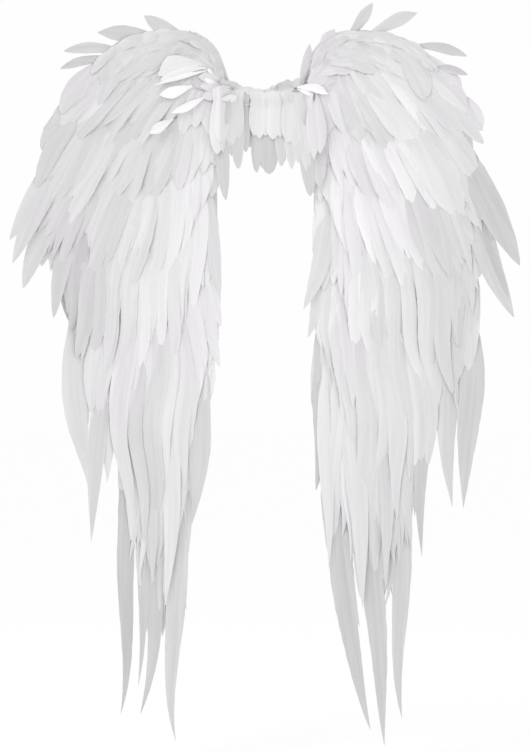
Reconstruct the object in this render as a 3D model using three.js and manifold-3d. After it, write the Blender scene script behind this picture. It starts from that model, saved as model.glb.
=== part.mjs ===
// White feather angel wings: two backing panels on one bent spar, rows of feathers sewn on tapes,
// a harness plate and two elastic shoulder straps.
// Units are millimetres. +Z is up, -Y faces the onlooker (the feathered side), +Y faces the wearer.
// The origin is the middle of the harness plate's face that lies against the wearer's back.
import * as THREE from "three";
import { mergeVertices } from "three/addons/utils/BufferGeometryUtils.js";
import Module from "manifold-3d";

const wasm = await Module();
wasm.setup();

// Overall form
const WING_HEIGHT = 1000; // highest crest tip to the lowest tail tip
const HALF_SPAN = 340; // centre plane to the outermost feather tip
const CREST_RISE = 162; // origin to the highest crest tip
const SWEEP_BACK = 42; // how far the outermost feathers stand behind the plate
const TAIL_CURL = 24; // how far the tail tips turn back towards the wearer
const CURL_START = 0.45; // share of the height where that turn starts

// Harness
const PLATE_WIDTH = 190;
const PLATE_HEIGHT = 62;
const PLATE_THICKNESS = 4;
const PLATE_CORNER = 14;
const STRAP_WIDTH = 25;
const STRAP_THICKNESS = 2;
const STRAP_SPACING = 157; // centre of one strap to the centre of the other
const STRAP_REACH = 64; // how far a loop stands out from the plate
const STRAP_HANG = 150; // how far a loop hangs below the plate
const STRAP_BEND = 9; // radius of the turn over the plate's top edge

// Frame and backing
const SPAR_DIAMETER = 11; // wire with its wrapping
const BRIDGE_HEIGHT = 10; // spar's middle above the plate's top edge at the centre plane
const BACKING_THICKNESS = 3;
const TOUCH_GAP = 0.3;
const SEAT_GAP = 0.8; // around the backing, whose faces are slightly curved

// Feathers
const FEATHER_WIDTH = 34; // width of an ordinary covert
const VANE_THICKNESS = 2;
const LEVEL_PITCH = 2.6; // step between neighbouring feathers of one row
const ROW_PITCH = 8; // step between one row and the next
const TAPE_WIDTH = 10; // sewn tape that holds a row's roots
const TAPE_MARGIN = 3;
const LIFT_RUN = 100; // distance over which a row climbs onto the row below
const BRIDGE_TAPE_DEPTH = 8.5;
const BRIDGE_FEATHER_START = 4.5; // plate's front to the rear feathers of the bridge

const LEVELS = 2;
const SPAR_SIDES = 8;
const SPAR_STEPS = 44;
const STRAP_STEPS = 26;
const BACKING_COLUMNS = 5;
const TAPE_STEPS = 7;

// Half width along a feather: share of the length, share of the full half width. The tip is a point.
const COVERT = [[0, 0.5], [0.25, 0.85], [0.58, 1], [0.86, 0.78]];
const LANCE = [[0, 0.5], [0.3, 0.9], [0.62, 1], [0.9, 0.56]];
const PLUME = [[0, 0.45], [0.24, 0.92], [0.5, 1], [0.74, 0.8], [0.92, 0.36]];

// Places are shares: the first of HALF_SPAN from the centre plane, the second of WING_HEIGHT
// down from the highest crest tip. Rows run from the lowest layer to the outermost one.
// width is a share of FEATHER_WIDTH, bends are the bulges of the outer and the inner feathers as
// shares of their length, and roots are the outer end, middle and inner end of the sewn tape.
const ROWS = [
  { name: "tail_feathers", shape: PLUME, width: 1, bends: [0, 0.01],
    roots: [[0.56, 0.52], [0.42, 0.553], [0.22, 0.53]] },
  { name: "long_feathers", shape: PLUME, width: 1.15, bends: [0.01, -0.01],
    roots: [[0.755, 0.376], [0.456, 0.427], [0.23, 0.4]] },
  { name: "lower_feathers", shape: LANCE, width: 1.08, bends: [0.03, -0.01],
    roots: [[0.775, 0.286], [0.475, 0.319], [0.23, 0.299]] },
  { name: "middle_feathers", shape: LANCE, width: 1.05, bends: [0.02, -0.01],
    roots: [[0.8, 0.212], [0.495, 0.239], [0.22, 0.226]] },
  { name: "upper_feathers", shape: LANCE, width: 1, bends: [0.02, -0.01],
    roots: [[0.785, 0.158], [0.495, 0.174], [0.2, 0.174]] },
  { name: "coverts", shape: COVERT, width: 1, bends: [0.02, -0.01],
    roots: [[0.72, 0.115], [0.475, 0.11], [0.175, 0.138]] },
  { name: "crest_feathers", shape: COVERT, width: 0.95, bends: [0.05, 0.01],
    roots: [[0.68, 0.092], [0.43, 0.053], [0.19, 0.095]] },
];

// Ordinary feathers of each row: how many, the outer and inner root across, and where the outer,
// middle and inner ones end.
const LEFT_TIPS = {
  tail_feathers: { count: 3, from: [0.47, 0.35], tips: [[0.475, 0.86], [0.44, 0.9], [0.395, 0.87]] },
  long_feathers: { count: 6, from: [0.55, 0.24], tips: [[0.525, 0.7], [0.41, 0.755], [0.262, 0.58]] },
  lower_feathers: { count: 8, from: [0.73, 0.24], tips: [[0.77, 0.43], [0.566, 0.527], [0.225, 0.487]] },
  middle_feathers: { count: 8, from: [0.76, 0.24], tips: [[0.88, 0.355], [0.637, 0.4], [0.235, 0.38]] },
  upper_feathers: { count: 8, from: [0.75, 0.22], tips: [[0.93, 0.3], [0.661, 0.309], [0.215, 0.262]] },
  coverts: { count: 9, from: [0.7, 0.19], tips: [[0.88, 0.2], [0.633, 0.219], [0.185, 0.222]] },
  crest_feathers: { count: 9, from: [0.66, 0.21], tips: [[0.79, 0.15], [0.6, 0.135], [0.215, 0.18]] },
};
const RIGHT_TIPS = {
  tail_feathers: { count: 3, from: [0.47, 0.33], tips: [[0.49, 0.86], [0.44, 0.9], [0.375, 0.82]] },
  long_feathers: { count: 7, from: [0.61, 0.24], tips: [[0.6, 0.66], [0.45, 0.74], [0.24, 0.62]] },
  lower_feathers: { count: 8, from: [0.76, 0.24], tips: [[0.8, 0.5], [0.574, 0.534], [0.225, 0.467]] },
  middle_feathers: { count: 8, from: [0.76, 0.24], tips: [[0.84, 0.37], [0.64, 0.407], [0.23, 0.387]] },
  upper_feathers: { count: 8, from: [0.72, 0.22], tips: [[0.89, 0.29], [0.653, 0.313], [0.21, 0.266]] },
  coverts: { count: 9, from: [0.7, 0.19], tips: [[0.85, 0.174], [0.613, 0.219], [0.185, 0.222]] },
  crest_feathers: { count: 9, from: [0.65, 0.21], tips: [[0.76, 0.135], [0.574, 0.138], [0.215, 0.178]] },
};

// Single feathers that stand out of the outline: root across, tip, and width as a share of
// FEATHER_WIDTH.
const LEFT_SINGLES = [
  { row: "crest_feathers", from: 0.3, tip: [0.471, 0.019], width: 0.56, bend: -0.04 },
  { row: "crest_feathers", from: 0.42, tip: [0.661, 0.042], width: 0.64, bend: 0.08 },
  { row: "crest_feathers", from: 0.57, tip: [0.791, 0.064], width: 0.5, bend: 0.06 },
  { row: "crest_feathers", from: 0.61, tip: [0.807, 0.091], width: 0.44, bend: 0.08 },
  { row: "crest_feathers", from: 0.215, tip: [0.3, 0.04], width: 0.6, bend: -0.1 },
  { row: "crest_feathers", from: 0.195, tip: [0.15, 0.165], width: 0.7, bend: 0.02 },
  { row: "coverts", from: 0.185, tip: [0.156, 0.266], width: 0.55, bend: 0.01 },
  { row: "upper_feathers", from: 0.755, tip: [1, 0.319], width: 0.95, bend: 0.01 },
  { row: "upper_feathers", from: 0.73, tip: [0.988, 0.349], width: 0.9, bend: 0.01 },
  { row: "middle_feathers", from: 0.785, tip: [0.949, 0.384], width: 0.9, bend: 0.01 },
  { row: "middle_feathers", from: 0.735, tip: [0.832, 0.424], width: 0.85, bend: 0 },
  { row: "lower_feathers", from: 0.255, tip: [0.178, 0.43], width: 0.7, bend: 0.04 },
  { row: "long_feathers", from: 0.72, tip: [0.688, 0.668], width: 1.15, bend: 0.045 },
  { row: "long_feathers", from: 0.66, tip: [0.684, 0.7235], width: 0.95, bend: 0 },
  { row: "long_feathers", from: 0.62, tip: [0.635, 0.62], width: 1.15, bend: -0.01 },
  { row: "long_feathers", from: 0.245, tip: [0.223, 0.621], width: 0.4, bend: 0.01 },
  { row: "long_feathers", from: 0.265, tip: [0.29, 0.7], width: 1.1, bend: 0 },
  { row: "tail_feathers", from: 0.525, tip: [0.57, 0.954], width: 0.85, bend: -0.012 },
  { row: "tail_feathers", from: 0.475, tip: [0.503, 0.918], width: 0.5, bend: 0 },
  { row: "tail_feathers", from: 0.44, tip: [0.495, 0.957], width: 0.8, bend: -0.025 },
  { row: "tail_feathers", from: 0.3, tip: [0.357, 0.992], width: 0.95, bend: 0.02 },
];
const RIGHT_SINGLES = [
  { row: "crest_feathers", from: 0.33, tip: [0.424, 0], width: 0.42, bend: 0.05 },
  { row: "crest_feathers", from: 0.42, tip: [0.598, 0.015], width: 0.56, bend: 0.12 },
  { row: "crest_feathers", from: 0.59, tip: [0.791, 0.074], width: 0.5, bend: 0.08 },
  { row: "crest_feathers", from: 0.64, tip: [0.787, 0.098], width: 0.42, bend: 0.05 },
  { row: "crest_feathers", from: 0.225, tip: [0.274, 0.036], width: 0.66, bend: 0.05 },
  { row: "crest_feathers", from: 0.195, tip: [0.172, 0.056], width: 0.56, bend: 0.05 },
  { row: "crest_feathers", from: 0.2, tip: [0.15, 0.165], width: 0.7, bend: 0.02 },
  { row: "upper_feathers", from: 0.71, tip: [0.992, 0.352], width: 1.05, bend: 0 },
  { row: "middle_feathers", from: 0.78, tip: [0.972, 0.424], width: 1.1, bend: -0.02 },
  { row: "middle_feathers", from: 0.26, tip: [0.155, 0.415], width: 0.75, bend: 0.06 },
  { row: "long_feathers", from: 0.74, tip: [0.779, 0.678], width: 1.15, bend: 0.055 },
  { row: "long_feathers", from: 0.7, tip: [0.736, 0.677], width: 0.95, bend: 0.01 },
  { row: "long_feathers", from: 0.6, tip: [0.617, 0.742], width: 0.85, bend: 0 },
  { row: "tail_feathers", from: 0.53, tip: [0.538, 0.962], width: 0.9, bend: -0.01 },
  { row: "tail_feathers", from: 0.4, tip: [0.467, 1], width: 0.95, bend: -0.01 },
  { row: "tail_feathers", from: 0.275, tip: [0.416, 0.979], width: 0.9, bend: -0.02 },
  { row: "tail_feathers", from: 0.23, tip: [0.341, 0.906], width: 1, bend: 0.005 },
];

// Short feathers that hang over the bridge. from is negative to the left.
const BRIDGE_FEATHERS = [
  { from: -0.15, tip: [-0.155, 0.2], level: 1, width: 0.6 },
  { from: -0.105, tip: [-0.11, 0.22], level: 0, width: 0.66 },
  { from: -0.065, tip: [-0.085, 0.201], level: 1, width: 0.45 },
  { from: -0.035, tip: [-0.036, 0.228], level: 0, width: 0.56 },
  { from: 0, tip: [0, 0.2], level: 1, width: 0.62 },
  { from: 0.01, tip: [0.004, 0.23], level: 0, width: 0.66 },
  { from: 0.045, tip: [0.04, 0.212], level: 1, width: 0.6 },
  { from: 0.07, tip: [0.104, 0.223], level: 0, width: 0.66 },
  { from: 0.1, tip: [0.135, 0.22], level: 1, width: 0.6 },
  { from: 0.13, tip: [0.175, 0.258], level: 0, width: 0.66 },
];

// Outline of a backing panel: share of the height, then outer and inner shares of the half span.
const BACKING_ROWS = [
  { down: 0.046, outer: 0.49, inner: 0.31 },
  { down: 0.053, outer: 0.56, inner: 0.265 },
  { down: 0.067, outer: 0.62, inner: 0.226 },
  { down: 0.09, outer: 0.68, inner: 0.196 },
  { down: 0.118, outer: 0.725, inner: 0.18 },
  { down: 0.165, outer: 0.775, inner: 0.195 },
  { down: 0.22, outer: 0.79, inner: 0.215 },
  { down: 0.3, outer: 0.77, inner: 0.225 },
  { down: 0.39, outer: 0.72, inner: 0.225 },
  { down: 0.47, outer: 0.64, inner: 0.235 },
  { down: 0.53, outer: 0.56, inner: 0.26 },
  { down: 0.565, outer: 0.47, inner: 0.31 },
];

// Half of the spar's route, from beside the bridge over the arch and down the outer edge.
const SPAR_ROUTE = [
  [0.069, 0.119], [0.128, 0.116], [0.156, 0.106], [0.175, 0.089], [0.204, 0.065], [0.246, 0.05],
  [0.3, 0.0425], [0.39, 0.041], [0.5, 0.047], [0.6, 0.062], [0.67, 0.088], [0.72, 0.12],
  [0.75, 0.165], [0.76, 0.22], [0.745, 0.3], [0.7, 0.38],
];

const WHITE_FEATHER = new THREE.MeshStandardMaterial({ color: 0xe9e8ea, roughness: 0.85, metalness: 0 });
const GREY_FEATHER = new THREE.MeshStandardMaterial({ color: 0xd6d6d8, roughness: 0.85, metalness: 0 });
const WHITE_FELT = new THREE.MeshStandardMaterial({ color: 0xe4e3e1, roughness: 0.95, metalness: 0 });
const WHITE_ELASTIC = new THREE.MeshStandardMaterial({ color: 0xe8e7e4, roughness: 0.8, metalness: 0 });

const height = (down) => CREST_RISE - down * WING_HEIGHT;
const mix = (a, b, t) => a + (b - a) * t;
const share = (t) => Math.min(1, Math.max(0, t));

// Value at s of the parabola through three values at s = 0, middle and 1.
function parabola(values, s, middle = 0.5) {
  const [a, b, c] = values;
  return (
    (a * (s - middle) * (s - 1)) / middle +
    (b * s * (s - 1)) / (middle * (middle - 1)) +
    (c * s * (s - middle)) / (1 - middle)
  );
}

// Y of the backing's feathered face: flat behind the plate, swept back outwards, curled in at the tail.
function backingFront(x, z) {
  const beyond = Math.max(0, Math.abs(x) - PLATE_WIDTH / 2) / (HALF_SPAN - PLATE_WIDTH / 2);
  const below = Math.max(0, (CREST_RISE - z) / WING_HEIGHT - CURL_START) / (1 - CURL_START);
  const flat = PLATE_THICKNESS + TOUCH_GAP + SPAR_DIAMETER + SEAT_GAP + BACKING_THICKNESS;
  return -flat - SWEEP_BACK * beyond ** 2 + TAIL_CURL * below ** 2;
}

// Share of the height at which a row's tape lies, at a distance across from the centre plane.
function rootDown(row, x) {
  const [outer, middle, inner] = row.roots;
  const u = Math.min(outer[0], Math.max(inner[0], Math.abs(x) / HALF_SPAN));
  const s = (outer[0] - u) / (outer[0] - inner[0]);
  const bendAt = (outer[0] - middle[0]) / (outer[0] - inner[0]);
  return parabola([outer[1], middle[1], inner[1]], s, bendAt);
}

// How far a row stands off the backing at a place, because it climbs over each row below it.
function lift(rowIndex, x, z) {
  return ROWS.slice(0, rowIndex).reduce((sum, lower) => {
    const top = height(rootDown(lower, x)) + TAPE_WIDTH / 2 + TAPE_MARGIN;
    return sum + ROW_PITCH * share((top + LIFT_RUN - z) / LIFT_RUN);
  }, 0);
}

// A closed solid from points and triangles, turned to face outwards.
function solidFrom(points, triangles) {
  const geometry = new THREE.BufferGeometry();
  geometry.setAttribute("position", new THREE.Float32BufferAttribute(points.flat(), 3));
  geometry.setIndex(triangles.flat());
  return solidOf(geometry);
}

function solidOf(geometry) {
  const bare = geometry.clone();
  bare.deleteAttribute("normal");
  bare.deleteAttribute("uv");
  const merged = mergeVertices(bare, 1e-4);
  const vertProperties = new Float32Array(merged.attributes.position.array);
  const triVerts = new Uint32Array(merged.index.array);
  const made = new wasm.Manifold(new wasm.Mesh({ numProp: 3, vertProperties, triVerts }));
  if (made.volume() > 0) return made;
  for (let i = 0; i < triVerts.length; i += 3) {
    [triVerts[i + 1], triVerts[i + 2]] = [triVerts[i + 2], triVerts[i + 1]];
  }
  return new wasm.Manifold(new wasm.Mesh({ numProp: 3, vertProperties, triVerts }));
}

function geometryOf(solid) {
  const mesh = solid.getMesh();
  const geometry = new THREE.BufferGeometry();
  geometry.setAttribute("position", new THREE.BufferAttribute(mesh.vertProperties, 3));
  geometry.setIndex(new THREE.BufferAttribute(mesh.triVerts, 1));
  geometry.computeVertexNormals();
  return geometry;
}

// A solid lofted through rings of equally many points, closed at each end by a fan or by a point.
function loft(rings) {
  const n = rings[0].length;
  const points = rings.flat();
  const triangles = [];
  for (let k = 0; k + 1 < rings.length; k++) {
    const a = k * n;
    const b = a + n;
    if (rings[k + 1].length === 1) {
      for (let i = 0; i < n; i++) triangles.push([a + i, a + ((i + 1) % n), b]);
      continue;
    }
    for (let i = 0; i < n; i++) {
      const j = (i + 1) % n;
      triangles.push([a + i, a + j, b + j], [a + i, b + j, b + i]);
    }
  }
  for (let i = 1; i + 1 < n; i++) triangles.push([0, i + 1, i]);
  if (rings.at(-1).length === n) {
    const last = points.length - n;
    for (let i = 1; i + 1 < n; i++) triangles.push([last, last + i, last + i + 1]);
  }
  return solidFrom(points, triangles);
}

// One feather: four-cornered rings (edge, front ridge, edge, rear ridge) along a gently bent line.
// front(x, z) gives the Y of the surface that the feather's back follows.
function feather({ root, tip, width, bend, side, shape, front }) {
  const along = [tip[0] - root[0], tip[1] - root[1]];
  const length = Math.hypot(...along);
  const normal = [(-along[1] / length) * side, (along[0] / length) * side];
  const centre = (t) => {
    const bulge = 4 * t * (1 - t) * bend * length;
    return [root[0] + along[0] * t + normal[0] * bulge, root[1] + along[1] * t + normal[1] * bulge];
  };
  const at = (x, z, off) => [x, front(x, z) - off, z];
  const rings = shape.map(([t, part]) => {
    const [x, z] = centre(t);
    const half = (part * width) / 2;
    return [
      at(x - normal[0] * half, z - normal[1] * half, VANE_THICKNESS / 2),
      at(x, z, VANE_THICKNESS),
      at(x + normal[0] * half, z + normal[1] * half, VANE_THICKNESS / 2),
      at(x, z, 0),
    ];
  });
  rings.push([at(...tip, VANE_THICKNESS / 2)]);
  return loft(rings);
}

// The sewn tape of a row, thick enough to reach from the backing to the row's outer feathers.
function tape(rowIndex, side) {
  const row = ROWS[rowIndex];
  const outer = row.roots[0][0];
  const inner = row.roots[2][0];
  const rings = [];
  for (let i = 0; i <= TAPE_STEPS; i++) {
    const x = side * HALF_SPAN * mix(outer, inner, i / TAPE_STEPS);
    const z = height(rootDown(row, x));
    const top = z + TAPE_WIDTH / 2;
    const bottom = z - TAPE_WIDTH / 2;
    const out = SEAT_GAP + lift(rowIndex, x, bottom) + LEVELS * LEVEL_PITCH;
    rings.push([
      [x, backingFront(x, top) - SEAT_GAP, top],
      [x, backingFront(x, top) - out, top],
      [x, backingFront(x, bottom) - out, bottom],
      [x, backingFront(x, bottom) - SEAT_GAP, bottom],
    ]);
  }
  return loft(rings);
}

// All feathers of one row of one wing, joined to their tape.
function featherRow(rowIndex, side, tips, singles) {
  const row = ROWS[rowIndex];
  const { count, from, tips: ends } = tips[row.name];
  const place = ([u, v]) => [side * u * HALF_SPAN, height(v)];
  const frontAt = (level) => (x, z) =>
    backingFront(x, z) - SEAT_GAP - lift(rowIndex, x, z) - level * LEVEL_PITCH;
  let made = tape(rowIndex, side);
  for (let i = 0; i < count; i++) {
    const s = i / (count - 1);
    const u = mix(...from, s);
    made = made.add(feather({
      root: [side * u * HALF_SPAN, height(rootDown(row, u * HALF_SPAN))],
      tip: place([parabola(ends.map((e) => e[0]), s), parabola(ends.map((e) => e[1]), s)]),
      width: row.width * FEATHER_WIDTH,
      bend: mix(...row.bends, s),
      side,
      shape: row.shape,
      front: frontAt(i % LEVELS),
    }));
  }
  singles.filter((single) => single.row === row.name).forEach((single, i) => {
    made = made.add(feather({
      root: [side * single.from * HALF_SPAN, height(rootDown(row, single.from * HALF_SPAN))],
      tip: place(single.tip),
      width: single.width * FEATHER_WIDTH,
      bend: single.bend,
      side,
      shape: row.shape,
      front: frontAt((i + 1) % LEVELS),
    }));
  });
  return made;
}

// Backing panel: a curved sheet between the outer and inner edges of BACKING_ROWS.
function backing(side) {
  const columns = [...Array(BACKING_COLUMNS + 1).keys()];
  const rings = BACKING_ROWS.map(({ down, outer, inner }) => {
    const z = height(down);
    const xs = columns.map((j) => side * HALF_SPAN * mix(outer, inner, j / BACKING_COLUMNS));
    const front = xs.map((x) => [x, backingFront(x, z), z]);
    const rear = xs.map((x) => [x, backingFront(x, z) + BACKING_THICKNESS, z]);
    return [...front, ...rear.reverse()];
  });
  return loftStrip(rings);
}

// A sheet's loft, whose end rings are flat strips closed by quads across the thickness.
function loftStrip(rings) {
  const n = rings[0].length;
  const points = rings.flat();
  const triangles = [];
  for (let k = 0; k + 1 < rings.length; k++) {
    for (let i = 0; i < n; i++) {
      const j = (i + 1) % n;
      const a = k * n;
      const b = a + n;
      triangles.push([a + i, a + j, b + j], [a + i, b + j, b + i]);
    }
  }
  const last = points.length - n;
  for (let i = 0; i + 1 < n / 2; i++) {
    const j = n - 1 - i;
    triangles.push([i, j, j - 1], [i, j - 1, i + 1]);
    triangles.push([last + i, last + j - 1, last + j], [last + i, last + i + 1, last + j - 1]);
  }
  return solidFrom(points, triangles);
}

// The spar lies behind the backing: its centre stands off by its radius, corrected for the slope.
function sparCentre(x, z) {
  const slopeX = (backingFront(x + 1, z) - backingFront(x - 1, z)) / 2;
  const slopeZ = (backingFront(x, z + 1) - backingFront(x, z - 1)) / 2;
  const stand = (SPAR_DIAMETER / 2 + SEAT_GAP) * Math.hypot(1, slopeX, slopeZ);
  return new THREE.Vector3(x, backingFront(x, z) + BACKING_THICKNESS + stand, z);
}

function sparGeometry() {
  const half = (side) => SPAR_ROUTE.map(([u, v]) => sparCentre(side * u * HALF_SPAN, height(v)));
  const bridge = sparCentre(0, PLATE_HEIGHT / 2 + BRIDGE_HEIGHT);
  const route = new THREE.CatmullRomCurve3([...half(-1).reverse(), bridge, ...half(1)]);
  const section = new THREE.Shape();
  for (let i = 0; i < SPAR_SIDES; i++) {
    const angle = (2 * Math.PI * (i + 0.5)) / SPAR_SIDES;
    const x = (Math.cos(angle) * SPAR_DIAMETER) / 2;
    const y = (Math.sin(angle) * SPAR_DIAMETER) / 2;
    if (i) section.lineTo(x, y);
    else section.moveTo(x, y);
  }
  return new THREE.ExtrudeGeometry(section, { steps: SPAR_STEPS, extrudePath: route });
}

// Harness plate: a rounded board whose rear face is at Y = 0.
function plateGeometry() {
  const w = PLATE_WIDTH / 2;
  const h = PLATE_HEIGHT / 2;
  const r = PLATE_CORNER;
  const outline = new THREE.Shape();
  outline.moveTo(-w + r, -h);
  outline.lineTo(w - r, -h);
  outline.absarc(w - r, -h + r, r, -Math.PI / 2, 0);
  outline.absarc(w - r, h - r, r, 0, Math.PI / 2);
  outline.absarc(-w + r, h - r, r, Math.PI / 2, Math.PI);
  outline.absarc(-w + r, -h + r, r, Math.PI, 1.5 * Math.PI);
  return new THREE.ExtrudeGeometry(outline, {
    depth: PLATE_THICKNESS, bevelEnabled: false, curveSegments: 4,
  });
}

// Side view of a strap's middle line as [out from the plate's rear face, height]: up from the
// plate's top edge, over towards the wearer, down as a slack loop, and up to the bottom edge.
function strapRoute() {
  const top = PLATE_HEIGHT / 2;
  const middle = -PLATE_THICKNESS / 2;
  const fall = PLATE_HEIGHT + STRAP_HANG;
  const loop = [
    { out: 0.7, down: 0.3 }, { out: 1.0, down: 0.64 }, { out: 0.9, down: 0.88 },
    { out: 0.56, down: 1.0 }, { out: 0.24, down: 0.92 }, { out: 0.06, down: 0.7 },
  ];
  return new THREE.SplineCurve([
    [middle, top + TOUCH_GAP],
    [middle, top + STRAP_BEND * 0.4],
    [middle + STRAP_BEND * 0.35, top + STRAP_BEND * 1.05],
    [middle + STRAP_BEND, top + STRAP_BEND * 1.3],
    [middle + STRAP_BEND * 1.9, top + STRAP_BEND * 0.9],
    ...loop.map(({ out, down }) => [out * STRAP_REACH, top - down * fall]),
    [middle, -top - STRAP_HANG * 0.2],
    [middle, -top - TOUCH_GAP],
  ].map(([y, z]) => new THREE.Vector2(y, z)));
}

function strapGeometry() {
  const route = strapRoute();
  const edge = (sign) => [...Array(STRAP_STEPS + 1).keys()].map((i) => {
    const t = i / STRAP_STEPS;
    const point = route.getPointAt(t);
    const tangent = route.getTangentAt(t);
    const off = (sign * STRAP_THICKNESS) / 2;
    return new THREE.Vector2(point.x - tangent.y * off, point.y + tangent.x * off);
  });
  const outline = new THREE.Shape([...edge(1), ...edge(-1).reverse()]);
  const geometry = new THREE.ExtrudeGeometry(outline, { depth: STRAP_WIDTH, bevelEnabled: false });
  const [xAxis, yAxis, zAxis] = [0, 1, 2].map((i) => new THREE.Vector3().setComponent(i, 1));
  return geometry.applyMatrix4(new THREE.Matrix4().makeBasis(yAxis, zAxis, xAxis));
}

// Bridge feathers hang from a tape on the plate's front, just under the spar.
function bridgeFeathers() {
  const tapeTop = PLATE_HEIGHT / 2 + BRIDGE_HEIGHT - SPAR_DIAMETER / 2 - SEAT_GAP;
  const half = HALF_SPAN * 0.19;
  const nearY = -PLATE_THICKNESS - TOUCH_GAP;
  const ring = (x) => [
    [x, nearY, tapeTop],
    [x, nearY - BRIDGE_TAPE_DEPTH, tapeTop],
    [x, nearY - BRIDGE_TAPE_DEPTH, tapeTop - TAPE_WIDTH],
    [x, nearY, tapeTop - TAPE_WIDTH],
  ];
  const rootZ = tapeTop - TAPE_WIDTH / 2;
  return BRIDGE_FEATHERS.reduce((made, { from, tip, level, width }) => made.add(feather({
    root: [from * HALF_SPAN, rootZ],
    tip: [tip[0] * HALF_SPAN, height(tip[1])],
    width: width * FEATHER_WIDTH,
    bend: 0.02,
    side: Math.sign(from) || 1,
    shape: COVERT,
    front: () => -PLATE_THICKNESS - BRIDGE_FEATHER_START + LEVEL_PITCH - level * LEVEL_PITCH,
  })), loft([ring(-half), ring(half)]));
}

function node(name, geometry, material) {
  const mesh = new THREE.Mesh(geometry, material);
  mesh.name = name;
  return mesh;
}

function wing(name, side, tips, singles) {
  const group = new THREE.Group();
  group.add(node(`${name}_backing`, geometryOf(backing(side)), WHITE_FELT));
  ROWS.forEach((row, i) => {
    const material = i < 2 ? GREY_FEATHER : WHITE_FEATHER;
    group.add(node(`${name}_${row.name}`, geometryOf(featherRow(i, side, tips, singles)), material));
  });
  const strap = node(`${name}_shoulder_strap`, strapGeometry(), WHITE_ELASTIC);
  strap.position.x = (side * STRAP_SPACING) / 2 - STRAP_WIDTH / 2;
  group.add(strap);
  return group;
}

const plate = node("harness_plate", plateGeometry(), WHITE_FELT);
plate.rotation.x = Math.PI / 2;

const wings = new THREE.Group();
wings.add(plate);
wings.add(node("wrapped_spar", sparGeometry(), WHITE_FELT));
wings.add(node("bridge_feathers", geometryOf(bridgeFeathers()), WHITE_FEATHER));
wings.add(wing("left", -1, LEFT_TIPS, LEFT_SINGLES));
wings.add(wing("right", 1, RIGHT_TIPS, RIGHT_SINGLES));

export default wings;
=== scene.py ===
"""White feather angel wings on a wrapped spar, with felt backings and a harness.

Metres, +Z up. The feathered side faces -Y, and the wearer stands on the +Y side.
"""

import logging
from abc import ABC, abstractmethod
from collections.abc import Callable
from dataclasses import dataclass, field
from enum import Enum
from typing import Any, ClassVar

import bpy
import numpy as np
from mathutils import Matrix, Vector


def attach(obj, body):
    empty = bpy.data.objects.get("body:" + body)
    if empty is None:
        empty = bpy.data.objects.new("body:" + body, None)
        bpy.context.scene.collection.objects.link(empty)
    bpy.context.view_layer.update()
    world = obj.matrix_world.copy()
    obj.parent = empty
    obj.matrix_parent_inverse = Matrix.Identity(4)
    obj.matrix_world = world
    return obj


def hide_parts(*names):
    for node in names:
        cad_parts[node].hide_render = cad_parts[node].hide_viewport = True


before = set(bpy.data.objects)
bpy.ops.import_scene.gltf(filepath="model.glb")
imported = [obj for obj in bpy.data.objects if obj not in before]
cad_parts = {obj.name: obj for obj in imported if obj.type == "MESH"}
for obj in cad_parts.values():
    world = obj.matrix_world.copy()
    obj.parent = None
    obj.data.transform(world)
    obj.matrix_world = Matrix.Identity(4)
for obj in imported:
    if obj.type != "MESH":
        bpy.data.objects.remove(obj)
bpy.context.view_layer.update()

logging.basicConfig(level=logging.INFO, format="%(message)s")
LOG = logging.getLogger("wings")

# Overall form, the same values as the solids have.
WING_HEIGHT = 1.0
HALF_SPAN = 0.34
CREST_RISE = 0.162
SWEEP_DEPTH = 0.042
CURL_DEPTH = 0.024
CURL_START = 0.45
PLATE_WIDTH = 0.19
PLATE_HEIGHT = 0.062
PLATE_THICKNESS = 0.004
PLATE_CORNER = 0.014
STRAP_WIDTH = 0.025
STRAP_THICKNESS = 0.002
STRAP_SPACING = 0.157
STRAP_REACH = 0.064
STRAP_HANG = 0.15
STRAP_BEND = 0.009
SPAR_DIAMETER = 0.011
BRIDGE_HEIGHT = 0.01
BACKING_THICKNESS = 0.003
TOUCH_GAP = 0.0003
SEAT_GAP = 0.0008
FEATHER_WIDTH = 0.034
LEVEL_PITCH = 0.0026
ROW_PITCH = 0.008
TAPE_WIDTH = 0.01
TAPE_MARGIN = 0.003
LIFT_RUN = 0.1
BRIDGE_FEATHER_START = 0.0045

# Lightness of the tapes, stitches and ties, and of a vane before it is shaded.
TAPE_TONE = 0.76
THREAD_TONE = 0.7
TIE_TONE = 0.72
VANE_TONE = 0.8

Array = np.ndarray
Surface = Callable[[Array, Array], Array]
Piece = bpy.types.Object
Socket = bpy.types.NodeSocket
Triple = tuple[float, float, float]


class Side(Enum):
    """The onlooker's left or right wing; the value is the sign of its X."""

    LEFT = -1
    RIGHT = 1


class Cut(Enum):
    """A feather's outline: the sine of pi times t to the first power, to the second power."""

    PADDLE = (1.3, 0.38)
    COVERT = (1.15, 0.5)
    LANCE = (1.0, 0.6)
    PLUME = (0.76, 0.7)
    LEAF = (1.12, 0.7)


@dataclass(frozen=True)
class RowPlan:
    """One row of feathers: its cut, its relative width, its bulges and its sewn line.

    roots are the outer end, middle and inner end of the tape, as shares of the half span across
    and of the height down. fill is how many more feathers lie between the listed ones, slim their
    least and greatest share of the listed width, press how far the tips sink to the row below, and
    swing how much further outwards they lie, as a share of their length.
    """

    name: str
    cut: Cut
    width: float
    bends: tuple[float, float]
    roots: tuple[tuple[float, float], ...]
    fill: int
    steps: int
    slim: tuple[float, float]
    press: float
    swing: float = 0.0


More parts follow.
